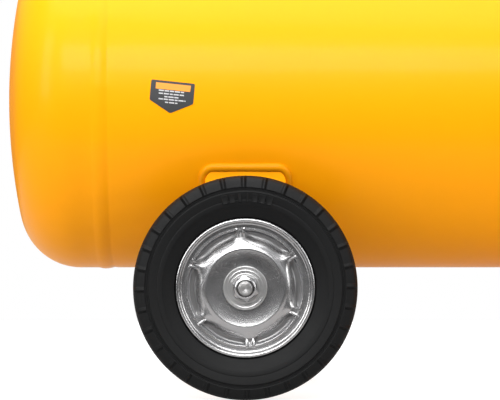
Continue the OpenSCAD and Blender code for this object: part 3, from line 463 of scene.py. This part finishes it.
def tyreSection(r):  # front half, from the rim seat to the crown
    half = [(54, 5.5), (60.1, 10.4), (62.5, 10.8), (63.9, 12.6), (64.3, 14.7), (66.5, 16.3), (70.0, 18.3),
            (74.6, 20.1), (75.2, 20.75), (75.9, 20.95), (78.8, 21.45), (79.4, 21.4), (79.9, 21.1),
            (83.5, 21.8),
            (86.9, 22.15), (87.5, 21.7), (87.8, 20.9), (88.6, 20.75), (88.9, 21.2), (89.3, 21.2),
            (89.6, 20.7),
            (90.4, 20.75), (90.8, 21.4), (91.3, 21.65), (94.5, 20.6), (97.4, 19.2), (99.3, 17.6),
            (100.6, 15.2),
            (101.3, 12.8), (r, 10.5), (r, 7.6), (r, 6.2), (99.9, 5.7), (99.6, 4.2), (99.9, 2.7), (r, 2.2),
            (r, 0.7)]
    return half + [(a, -b) for a, b in reversed(half)]


def tyreMesh(data):
    steps = data["blocks"] * data["stepsPerBlock"]
    bm = spun(tyreSection(data["radius"]), steps)
    bmesh.ops.recalc_face_normals(bm, faces=bm.faces)
    groove = []
    for face in bm.faces:
        middle = face.calc_center_median()
        radius, out = middle.xy.length / mm, abs(middle.z) / mm
        column = int((math.atan2(middle.y, middle.x) % math.tau) / math.tau * steps)
        if radius > data["grooveFrom"] and out > 6.6 and column % data["stepsPerBlock"] < 2:
            groove.append(face)
    cut = bmesh.ops.extrude_face_region(bm, geom=groove)["geom"]
    for face in [g for g in cut if isinstance(g, bmesh.types.BMFace)]:
        # painted sheen: groove floor faces take the lighter second rubber
        face.material_index = 1
    for vert in [g for g in cut if isinstance(g, bmesh.types.BMVert)]:
        flat = vert.co.xy.length / mm
        slope = min(1.0, max(0.0, (flat - 90.5) / 11))
        out = Vector((vert.co.x, vert.co.y, 0)).normalized()
        side = Vector((0, 0, 1 if vert.co.z > 0 else -1))
        push = (out * (0.35 + 0.65 * slope) + side * (1.0 - slope)).normalized()
        fade = min(1.0, max(0.25, (flat - 90.5) / 4))
        vert.co -= push * data["grooveDepth"] * mm * fade
    return bm


def sizeMarks(data, bm):  # plain raised dashes in place of moulded figures
    widths = [5.4, 5.2, 3.0, 1.8, 5.0, 5.2, 5.2]
    span = data["markFrom"] - data["markTo"]
    for k, wide in enumerate(widths):
        angle = data["markFrom"] - span * (k + 0.5) / len(widths)
        made = island(block(bm, (-wide / 2, -3.9, -1.2), (wide / 2, 3.9, data["markHeight"]), 0.3, 1)[0])
        top = max({f for v in made for f in v.link_faces}, key=lambda f: f.calc_center_median().z)
        if wide > 4:
            bmesh.ops.inset_region(bm, faces=[top], thickness=1.15 * mm, depth=0)
            bmesh.ops.translate(bm, vec=(0, 0, -0.28 * mm), verts=top.verts)
        made = island(top.verts[0])
        bmesh.ops.translate(bm, vec=(0, data["markRadius"] * mm, 21.55 * mm), verts=made)
        turned(bm, made, angle - 90)


for title, tag, body, turn in wheels:
    tyre = settle(tyreMesh(tyreLook), "tyre" + title, finishes["tyre_rubber"], body, turn,
                  26,
                  ["tyre_" + tag])
    tyre.data.materials.append(paintedGrooveSheen)
    bm = bmesh.new()
    sizeMarks(tyreLook, bm)
    settle(bm, "tyreMarks" + title, finishes["tyre_rubber"], body, turn, 26)
print("tyres moulded")

rimLook = {
    "steps": 288, "tabs": 6, "tabAt": 35.0, "crease": (35.3, 12.75), "edge": (50.5, 6.6),
    "ridgeWidth": 3.6, "ridgeFlare": 0.6, "tabWide": 8.2, "hub": 11.05,
}


def nearTab(angle, data):  # signed degrees to the closest tab
    gap = 360 / data["tabs"]
    return (angle - data["tabAt"] + gap / 2) % gap - gap / 2


def flangeSection():  # rolled lip, sloping channel and the curled inner edge
    lip = [(61.3 + 2.2 * math.cos(math.radians(a)), 13.4 + 2.2 * math.sin(math.radians(a)))
           for a in range(-60, 196, 15)]
    face = rounded([(59.3, 12.7), (58.9, 11.7), (57.9, 10.95), (55.0, 10.65), (53.6, 10.75)], 0.8)
    curl = [(52.8 + 0.75 * math.cos(math.radians(a)), 10.05 + 0.75 * math.sin(math.radians(a)))
            for a in range(75, 256, 20)]
    under = [(53.2, 9.3), (57.6, 9.5), (59.6, 10.6), (61.2, 11.4)]
    return lip + face + curl + under


def discSection(data):  # cone, crease and shallow dish down to the hub
    (creaseR, creaseW), (edgeR, edgeW) = data["crease"], data["edge"]
    front = rounded([(edgeR, edgeW), (edgeR - 1.2, edgeW - 0.5), (46.6, 6.2), (44.9, 7.2), (42.2, 9.5),
                     (39.6, 11.4), (37.2, 12.35), (creaseR + 0.3, creaseW)], 1.6)
    dish = [(creaseR - 0.35, creaseW + 0.02), (creaseR - 0.9, creaseW - 0.12), (31, 12.1), (27, 11.65),
            (23, 11.45),
            (19, 11.5), (15, 11.9), (data["hub"], 12.6)]
    back = [(r, w - 1.5) for r, w in reversed(front + dish)]
    return front + dish + back


def discMesh(data):  # the cone rises in a soft ridge to every tab
    bm = spun(discSection(data), data["steps"])
    (creaseR, creaseW), (edgeR, edgeW) = data["crease"], data["edge"]
    base = discSection(data)[:len(discSection(data)) // 2]
    for vert in bm.verts:
        radius = vert.co.xy.length / mm
        if radius <= creaseR + 0.2:
            continue
        angle = math.degrees(math.atan2(vert.co.y, vert.co.x))
        arc = math.radians(nearTab(angle, data)) * radius
        along = (radius - creaseR) / (edgeR - creaseR)
        wide = data["ridgeWidth"] + data["ridgeFlare"] * max(0.0, edgeR - radius) ** 1.12 * 0.8
        ridge = creaseW - 0.45 - along * 2.2
        rest = heightAt(base, radius)
        vert.co.z += max(0.0, ridge - rest) * math.exp(-(arc / wide) ** 2) * mm
    return bm


def heightAt(section, radius):
    for (r0, w0), (r1, w1) in zip(section, section[1:]):
        if min(r0, r1) <= radius <= max(r0, r1) and abs(r0 - r1) > 1e-6:
            return w0 + (w1 - w0) * (radius - r0) / (r1 - r0)
    return section[0][1]


def tabMesh(data, bm):  # a tongue folded over the curled edge, with a pressed middle
    half = data["tabWide"] / 2
    path = [(45.6, 10.2), (47.0, 11.15), (50.2, 11.25), (52.0, 11.75), (53.9, 11.75), (55.0, 11.3),
            (55.5, 10.4)]
    inner = [(r - 0.1, w - 1.25) for r, w in path]
    slices = 6
    for k in range(data["tabs"]):
        near = [bm.verts.new((r * mm, -half * mm, w * mm)) for r, w in path + inner[::-1]]
        made, face = list(near), bm.faces.new(near)
        for _ in range(slices):
            grown = bmesh.ops.extrude_face_region(bm, geom=[face])["geom"]
            far = [g for g in grown if isinstance(g, bmesh.types.BMVert)]
            face = next(g for g in grown if isinstance(g, bmesh.types.BMFace))
            bmesh.ops.translate(bm, vec=(0, data["tabWide"] / slices * mm, 0), verts=far)
            made += far
        for vert in made:  # the middle is pinched down and the two sides stay up
            if abs(vert.co.y) / mm < half * 0.4:
                vert.co.z -= 1.1 * mm
            if vert.co.x < 49.5 * mm:
                vert.co.y *= 0.85
        turned(bm, made, data["tabAt"] + 360 / data["tabs"] * k)
    bmesh.ops.holes_fill(bm, edges=bm.edges)


def hubMesh(data):
    return spun([(data["hub"], -24.6), (data["hub"], 12.6), (data["hub"] - 0.4, 13.0), (7.4, 13.0),
                 (7.4, -24.6)], 64)


for title, tag, body, turn in wheels:
    flange = spun(flangeSection(), rimLook["steps"])
    settle(flange, "rimFlange" + title, finishes["zinc_steel"], body, turn, 40,
           ["rim_outer_" + tag])
    settle(discMesh(rimLook), "rimDisc" + title, rimSteel, body, turn, 40)
    bm = bmesh.new()
    tabMesh(rimLook, bm)
    settle(bm, "rimTabs" + title, finishes["zinc_steel"], body, turn, 40)
    back = Matrix.Scale(-1, 4, (0, 0, 1))
    bm = spun(flangeSection(), 160)
    bmesh.ops.transform(bm, matrix=back, verts=bm.verts)
    spun([(a, -b) for a, b in discSection(rimLook)], 160, bm=bm)
    settle(bm, "rimBack" + title, finishes["zinc_steel"], body, turn, 40,
           ["rim_inner_" + tag])
    bm = hubMesh(rimLook)
    spun([(50.4, -7.4), (50.4, 4.6), (53.2, 4.6), (53.2, 9.2), (53.9, 9.2), (53.9, -7.4)], 160, bm=bm)
    settle(bm, "rimHub" + title, finishes["bare_steel"], body, turn, 40)
print("rims pressed")

axleLook = {"washer": 20.0, "washerFrom": 13.3, "washerTo": 15.8, "flats": 21.0, "nutTo": 26.3, "bolt": 7.0,
            "boltTo": 29.3, "headFrom": -36.9, "headTo": -28.0}


def washerSection(data):
    r, low, high = data["washer"], data["washerFrom"], data["washerTo"]
    rings = []
    for k in range(9):  # two soft pressed rings on the face
        place = r - 2.0 - k * 0.75
        rings.append((place, high - 0.18 * (k % 4 in (1, 2))))
    return [(7.05, low), (r - 0.3, low), (r, low + 0.3), (r, high - 0.5), (r - 0.2, high - 0.15),
            (r - 0.6, high)] + rings + [(7.05, high)]


def nutMesh(data):  # a turned blank whose wall is pulled out to six flats
    flat, low, high, hole = data["flats"] / 2, data["washerTo"], data["nutTo"], data["bolt"] + 0.25
    section = [(hole, low), (flat - 0.1, low), (flat, low + 0.1), (flat, high - 1.9),
               (flat - 0.25, high - 1.45),
               (flat - 0.9, high - 0.8), (flat - 1.7, high - 0.3), (flat - 2.4, high - 0.1),
               (hole + 0.5, high - 0.25),
               (hole, high - 0.8)]
    bm = spun(section, 96)
    for vert in bm.verts:
        if vert.co.xy.length > (flat - 0.15) * mm:
            angle = math.degrees(math.atan2(vert.co.y, vert.co.x))
            grow = 1 / math.cos(math.radians((angle + 30) % 60 - 30))
            vert.co.x *= grow
            vert.co.y *= grow
            if vert.co.z > (low + 1) * mm:
                vert.co.z -= (grow - 1) * flat * 0.6 * mm
    turned(bm, bm.verts, 8)
    return bm


def boltSection(data):  # thread crests on the free end, closed with a domed face
    r, top = data["bolt"], data["boltTo"]
    section = [(0, data["headTo"] - 1), (r - 0.05, data["headTo"] - 1), (r - 0.05, data["washerTo"])]
    w = data["nutTo"] - 1.4
    while w < top - 1.3:
        section += [(r - 0.7, w), (r - 0.05, w + 0.45), (r - 0.05, w + 0.6)]
        w += 1.05
    return section + [(r - 0.8, top - 0.35), (r - 1.3, top - 0.12), (r - 3.2, top - 0.05),
                      (r - 5.2, top - 0.3),
                      (0.6, top - 0.45), (0, top - 0.45)]


for title, tag, body, turn in wheels:
    settle(spun(washerSection(axleLook), 128), "axleWasher" + title, washerSteel, "frame",
           turn, 40,
           ["axle_washers"])
    settle(nutMesh(axleLook), "axleNut" + title, finishes["zinc_steel"], "frame", turn, 22,
           ["axle_nuts"])
    bm = spun(boltSection(axleLook), 48, closed=False)
    rod(bm, axleLook["flats"] / math.sqrt(3), axleLook["headFrom"], axleLook["headTo"], 6, 0.8)
    settle(bm, "axleBolt" + title, boltSteel, "frame", turn, 28, ["axle_bolts"])
print("wheels fixed with washers and nuts")

tankLook = {
    "x": -48.0, "z": 276.0, "radius": 160.0, "seam": 267.0, "skirt": 27.0, "dish": 68.0, "knuckle": 57.0,
    "steps": 240, "bossTop": 167.0, "bossRadius": 17.0, "checkX": -284.0, "manifoldX": 188.0,
    "drainX": 102.0,
}


def headSection(data):  # crown, knuckle and skirt, from the middle of the head to the seam
    radius, knuckle, dish, skirt = data["radius"], data["knuckle"], data["dish"], data["skirt"]
    crown = ((radius - knuckle) ** 2 + dish ** 2 - knuckle ** 2) / (2 * (dish - knuckle))
    low = skirt + dish - crown
    meet = math.atan((radius - knuckle) / (skirt - low))
    section = [(crown * math.sin(meet * k / 14), low + crown * math.cos(meet * k / 14)) for k in range(14)]
    for k in range(19):
        a = meet + (math.pi / 2 - meet) * k / 18
        section.append((radius - knuckle + knuckle * math.sin(a), skirt + knuckle * math.cos(a)))
    return section + [(radius, skirt - 8), (radius, 10)]


def tankSection(data):  # the bead stands on the head side of each seam, with a fine line beside it
    bead = [(160.3, 8.5), (160.85, 6.2), (161.1, 3.4), (160.95, 0.6), (160.45, -2.2), (159.85, -4.4),
            (159.65, -5.6), (159.8, -7.2), (160.0, -9.2)]
    half = [(r, w + data["seam"]) for r, w in headSection(data) + bead]
    middle = [(160.0, w) for w in (200, 120, 40)]
    return half + middle + [(r, -w) for r, w in reversed(half + middle)]


def tankMesh(data):
    bm = spun(tankSection(data), data["steps"], closed=False)
    for vert in bm.verts:  # hand laid beads are never quite even
        out = abs(abs(vert.co.z) / mm - data["seam"])
        if out < 9:
            angle = math.atan2(vert.co.y, vert.co.x)
            wave = math.sin(angle * 23 + 1.3 * math.sin(angle * 7)) * 0.14 + math.sin(angle * 57) * 0.06
            vert.co.x *= 1 + wave / 160
            vert.co.y *= 1 + wave / 160
    return bm


def bossMesh(data):
    bm = bmesh.new()
    r, top = data["bossRadius"], data["bossTop"]
    for x, flip in ((data["checkX"], 0), (data["manifoldX"], 0), (data["drainX"], 180)):
        before = set(bm.verts)
        spun([(7.5, 150), (7.5, top), (r - 0.8, top), (r - 0.2, top - 0.3), (r, top - 0.9), (r, 162.6),
              (r + 0.8, 160.9),
              (r + 2.4, 159.6), (r + 4.6, 158.6), (r + 5.2, 157.0), (r, 150)], 72, bm=bm)
        fresh = [v for v in bm.verts if v not in before]
        bmesh.ops.rotate(bm, cent=(0, 0, 0), matrix=Matrix.Rotation(math.radians(flip), 3, "X"),
                         verts=fresh)
        bmesh.ops.translate(bm, vec=(x * mm, 0, data["z"] * mm), verts=fresh)
    return bm


tankTurn = Matrix.Translation((tankLook["x"] * mm, 0, tankLook["z"] * mm)) @ Matrix.Rotation(math.pi / 2, 4,
                                                                                             "Y")
settle(tankMesh(tankLook), "tankSkin", finishes["tank_paint"], "frame", tankTurn, 60,
       ["tank_shell", "tank_heads", "welds"])
settle(bossMesh(tankLook), "tankBosses", finishes["tank_paint"], "frame", None, 50)

weldLook = {"x": -183.0, "halfWide": 39.0, "top": 211.0, "foot": 168.0, "corner": 9.5, "thick": 4.3,
            "points": 90, "sunk": 0.6}


def weldPath(data):  # up one side of the bracket, round its corners and down the other
    x0, x1 = data["x"] - data["halfWide"], data["x"] + data["halfWide"]
    top, r = data["top"], data["corner"]
    path = [(x0, data["foot"]), (x0, top - r)]
    path += [(x0 + r - r * math.cos(math.radians(a)),
              top - r + r * math.sin(math.radians(a))) for a in range(8, 91, 8)]
    path += [(x1 - r + r * math.sin(math.radians(a)),
              top - r + r * math.cos(math.radians(a))) for a in range(0, 83, 8)]
    path += [(x1, top - r), (x1, data["foot"])]
    lengths = [0.0]
    for (ax, az), (bx, bz) in zip(path, path[1:]):
        lengths.append(lengths[-1] + math.hypot(bx - ax, bz - az))
    out = []
    for k in range(data["points"]):
        goal = lengths[-1] * k / (data["points"] - 1)
        spot = max(i for i, at in enumerate(lengths[:-1]) if at <= goal)
        t = (goal - lengths[spot]) / max(1e-6, lengths[spot + 1] - lengths[spot])
        (ax, az), (bx, bz) = path[spot], path[spot + 1]
        out.append((ax + (bx - ax) * t, az + (bz - az) * t))
    return out


def bracketWeld(data, side, name):
    curve = bpy.data.curves.new(name, "CURVE")
    curve.dimensions = "3D"
    curve.bevel_depth = data["thick"] * mm
    curve.bevel_resolution = 5
    curve.use_fill_caps = True
    path = weldPath(data)
    line = curve.splines.new("POLY")
    line.points.add(len(path) - 1)
    for k, (x, z) in enumerate(path):
        y = math.sqrt(tankLook["radius"] ** 2 - (tankLook["z"] - z) ** 2) - data["sunk"]
        line.points[k].co = (x * mm, side * y * mm, z * mm, 1)
        line.points[k].radius = 1 + 0.015 * math.sin(k * 1.7) + 0.03 * math.sin(k * 0.23 + 1)
    holder = bpy.data.objects.new(name + "Path", curve)
    mesh = bpy.data.meshes.new_from_object(holder)
    bpy.data.objects.remove(holder)
    bm = bmesh.new()
    bm.from_mesh(mesh)
    # painted shade: the weld is laid in the darkened yellow
    settle(bm, name, weldShadedPaint, "frame", None, 60)


bracketWeld(weldLook, -1, "bracketWeldFront")
bracketWeld(weldLook, 1, "bracketWeldRear")
print("tank, seams and bracket welds laid")

labelLook = {  # corners and bars in mm from the centre, along the tank and up
    "centre": (-250.0, 277.0), "thick": 0.35,
    "shape": [(-18.7, 14.2), (21.0, 10.0), (19.4, -8.5), (-1.7, -16.8), (-20.4, -4.3)],
    "bar": [(-14.5, 11.6), (17.4, 8.3), (16.6, 2.6), (-14.9, 5.9)],
    "lines": [(-12.0, 12.5, 3.2, 1.7), (-12.0, 12.2, 0.5, 1.9), (-6.9, 7.2, -2.2, 1.0),
              (-12.2, 12.4, -4.6, 2.3),
              (-6.3, 5.0, -7.3, 1.0)],
}


def onTank(verts, centre, lift):  # lay flat (x, z) shapes on the round of the tank
    for vert in verts:
        z = vert.co.z / mm + centre[1] - tankLook["z"]
        y = math.sqrt(tankLook["radius"] ** 2 - z * z) + lift
        vert.co = Vector(((vert.co.x / mm + centre[0]) * mm, -y * mm, (z + tankLook["z"]) * mm))


def labelPatch(corners, lift, thick, name, finish, soften=0.0):
    bm = bmesh.new()
    verts = [bm.verts.new((x * mm, 0, z * mm)) for x, z in corners]
    face = bm.faces.new(verts)
    if soften:
        bmesh.ops.bevel(bm, geom=verts, offset=soften * mm, segments=4, affect="VERTICES", profile=0.5,
                        material=-1)
    low, high = min(z for x, z in corners), max(z for x, z in corners)
    for k in range(1, int((high - low) / 1.5)):
        bmesh.ops.bisect_plane(bm, geom=list(bm.verts) + list(bm.edges) + list(bm.faces),
                               plane_co=(0, 0, (low + k * 1.5) * mm), plane_no=(0, 0, 1))
    grown = bmesh.ops.extrude_face_region(bm, geom=list(bm.faces), use_keep_orig=True)["geom"]
    outer = [g for g in grown if isinstance(g, bmesh.types.BMVert)]
    inner = [v for v in bm.verts if v not in set(outer)]
    onTank(outer, labelLook["centre"], lift + thick)
    onTank(inner, labelLook["centre"], lift)
    settle(bm, name, finish, "frame", None, 30)


labelPatch(labelLook["shape"], -0.1, labelLook["thick"] + 0.1, "cautionPatch", labelGrey, 1.3)
labelPatch(labelLook["bar"], 0.2, 0.22, "cautionBar", labelOrange, 0.25)


def labelDashes(data):  # light dashes where the small print would be
    for row, (x0, x1, z, seed) in enumerate(data["lines"]):
        x, k = x0, 0
        while x < x1 - 0.8:
            wide = min(x1 - x, 2.6 + 2.2 * abs(math.sin(seed * 3 + k * 1.9)))
            slope = -0.105 * (x + 1)
            tilt = -0.105 * wide
            corners = [(x, z + slope + 0.62), (x + wide, z + slope + tilt + 0.62),
                       (x + wide, z + slope + tilt - 0.5),
                       (x, z + slope - 0.5)]
            labelPatch(corners, 0.2, 0.2, "cautionDash%d%d" % (row, k), labelLight)
            x += wide + 0.75
            k += 1


labelDashes(labelLook)
print("caution patch laid on")

def softened(node, name, body, width, segments=2, finish=None, angle=38):  # a CAD part with its edges eased
    mesh = frame["nodes"][node].data.copy()
    mesh.name = name
    bm = bmesh.new()
    bm.from_mesh(mesh)
    bmesh.ops.remove_doubles(bm, verts=bm.verts, dist=0.00001)
    bmesh.ops.dissolve_degenerate(bm, dist=0.000005, edges=bm.edges)
    bmesh.ops.dissolve_limit(bm, angle_limit=math.radians(0.4), verts=bm.verts, edges=bm.edges,
                             use_dissolve_boundaries=False)
    bm.to_mesh(mesh)
    bm.free()
    mesh.materials.clear()
    mesh.materials.append(finish or finishes[slotOf[node]])
    mesh.shade_smooth()
    mesh.set_sharp_from_angle(angle=math.radians(angle))
    piece = link(name, mesh)
    edge = piece.modifiers.new("easedEdges", "BEVEL")
    edge.width = width * mm
    edge.segments = segments
    edge.limit_method = "ANGLE"
    edge.angle_limit = math.radians(angle)
    edge.harden_normals = False
    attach(piece, body)
    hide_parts(node)
    return piece


bodyOf = {node: body for body, nodes in frame["record"]["behaviour"]["bodies"].items() for node in nodes}
easedParts = {  # edge radius in mm for each part
    "wheel_brackets": 0.9, "foot_bracket": 0.7, "rubber_feet": 1.2, "hex_bolts": 0.35, "platform": 0.7,
    "crankcase": 1.4, "crankcase_cover": 0.8, "cylinder_block": 0.45, "valve_plate": 0.4,
    "cylinder_head": 1.0,
    "air_filter": 0.8, "motor_frame": 0.45, "motor_end_bells": 0.9, "motor_fan": 0.3,
    "capacitor_box": 1.4, "belt_guard_back": 0.4, "check_valve": 0.5, "manifold": 0.6,
    "pressure_switch": 1.6,
    "switch_knob": 0.8, "regulator_body": 0.6, "coupler_body": 0.4, "safety_valve": 0.4,
    "drain_body": 0.4, "drain_knob": 0.6,
}
for node, width in easedParts.items():
    words = node.split("_")
    softened(node, words[0] + "".join(w.title() for w in words[1:]) + "Eased", bodyOf[node], width)
print("castings and pressings eased:", len(easedParts))

gaugeLook = {"centre": (188.0, 541.0), "face": -58.05, "radius": 19.3, "from": 225.0, "sweep": 270.0,
             "top": 12}


def gaugeTurn(data):  # local Z looks out of the dial
    return Matrix.Translation((data["centre"][0] * mm, data["face"] * mm, data["centre"][1] * mm)) \
        @ Matrix.Rotation(math.pi / 2, 4, "X")


def gaugeDial(data):
    bm = spun([(0, 0.16), (data["radius"] - 0.4, 0.16), (data["radius"], 0.05), (data["radius"], -0.02),
               (0, -0.02)],
              64, closed=False)
    settle(bm, "gaugeDial", dialWhite, "frame", gaugeTurn(data), 40)
    bm = bmesh.new()
    for k in range(data["top"] * 5 + 1):
        long = k % 10 == 0
        made = block(bm, (-0.28 if long else -0.14, data["radius"] - (4.2 if long else 2.6), 0.15),
                     (0.28 if long else 0.14, data["radius"] - 0.9, 0.21))
        turned(bm, made, data["from"] - 90 - data["sweep"] * k / (data["top"] * 5))
    for number in range(0, data["top"] + 1, 2):
        words = bpy.data.curves.new("number%d" % number, "FONT")
        words.body = str(number)
        words.size = 0.0042
        words.extrude = 0.00003
        words.align_x, words.align_y = "CENTER", "CENTER"
        holder = bpy.data.objects.new("numberPath", words)
        flat = bpy.data.meshes.new_from_object(holder)
        bpy.data.objects.remove(holder)
        around = math.radians(data["from"] - data["sweep"] * number / data["top"])
        flat.transform(Matrix.Translation((math.cos(around) * 12.4 * mm, math.sin(around) * 12.4 * mm,
                                           0.2 * mm)))
        bm.from_mesh(flat)
        bpy.data.meshes.remove(flat)
    settle(bm, "gaugeScale", finishes["black_plastic"], "frame", gaugeTurn(data), 30)
    bezel = spun([(19.5, 0.1), (19.5, 4.2), (20.1, 5.4), (21.2, 5.9), (21.9, 5.6), (22.0, 4.9),
                  (22.0, -13.2),
                  (21.2, -14.0), (4.0, -14.0), (4.0, 0.0)], 96)
    settle(bezel, "gaugeCase", finishes["black_plastic"], "frame", gaugeTurn(data), 40)


gaugeDial(gaugeLook)

knobLook = {"centre": (188.0, 487.0), "near": -66.3, "far": -98.0, "radius": 19.0, "ribs": 30}


def knobMesh(data):  # ribbed grip with a dished end
    depth = data["near"] - data["far"]
    section = [(0, depth - 1.2), (9.0, depth - 1.2), (10.2, depth - 0.2), (13.5, depth),
               (16.2, depth - 0.5),
               (data["radius"] - 0.9, depth - 2.0), (data["radius"], depth - 4.0), (data["radius"], 5.5),
               (data["radius"] - 1.0, 4.2), (data["radius"] - 3.2, 3.4), (data["radius"] - 3.2, 0), (0, 0)]
    bm = spun(section, data["ribs"] * 6, closed=False)
    for vert in bm.verts:
        away = vert.co.xy.length / mm
        if away > data["radius"] - 1.2 and vert.co.z > 4 * mm:
            angle = math.atan2(vert.co.y, vert.co.x)
            pinch = 1 - 0.055 * max(0.0, math.cos(angle * data["ribs"])) ** 2
            vert.co.x *= pinch
            vert.co.y *= pinch
    return bm


knobTurn = Matrix.Translation((knobLook["centre"][0] * mm, knobLook["near"] * mm,
                               knobLook["centre"][1] * mm)) \
    @ Matrix.Rotation(math.pi / 2, 4, "X")
settle(knobMesh(knobLook), "pressureKnob", finishes["black_plastic"], "pressure_knob",
       knobTurn, 28,
       ["regulator_knob"])

screwLook = {  # cross head screws: centre in mm, direction they face, head radius
    "switchLid": [((188 + sx * 29, sy * 31, 584.2), (0, 0, 1), 3.0) for sx in (-1, 1) for sy in (-1, 1)],
    "boxLid": [((57 + sx * 39, 10 + sy * 29, 671.2), (0, 0, 1), 2.6) for sx in (-1, 1) for sy in (-1, 1)],
    "motorCowl": [((57 + 72.0 * math.cos(math.radians(a)), -96.0, 555 + 72.0 * math.sin(math.radians(a))),
                   (math.cos(math.radians(a)), 0, math.sin(math.radians(a))), 2.4) for a in (35, 145, 215,
                                                                                             325)],
}


def screwHead(bm, place, facing, radius):
    before = set(bm.verts)
    spun([(0, -2), (radius, -2), (radius, 0.25), (radius * 0.85, 0.9), (radius * 0.5, 1.3), (0, 1.4)], 20,
         closed=False, bm=bm)
    fresh = [v for v in bm.verts if v not in before]
    for vert in fresh:  # cross slot pressed in the crown
        flat = min(abs(vert.co.x), abs(vert.co.y)) / mm
        if vert.co.z > 0.8 * mm and flat < 0.45 and vert.co.xy.length < radius * 0.7 * mm:
            vert.co.z -= 0.7 * mm
    turn = Vector(facing).to_track_quat("Z", "Y").to_matrix().to_4x4()
    bmesh.ops.transform(bm, matrix=Matrix.Translation(Vector(place) * mm) @ turn, verts=fresh)


for name, heads in screwLook.items():
    bm = bmesh.new()
    for place, facing, radius in heads:
        screwHead(bm, place, facing, radius)
    settle(bm, name + "Screws", finishes["zinc_steel"], "frame", None, 40)
print("gauge, knob and screws fitted")
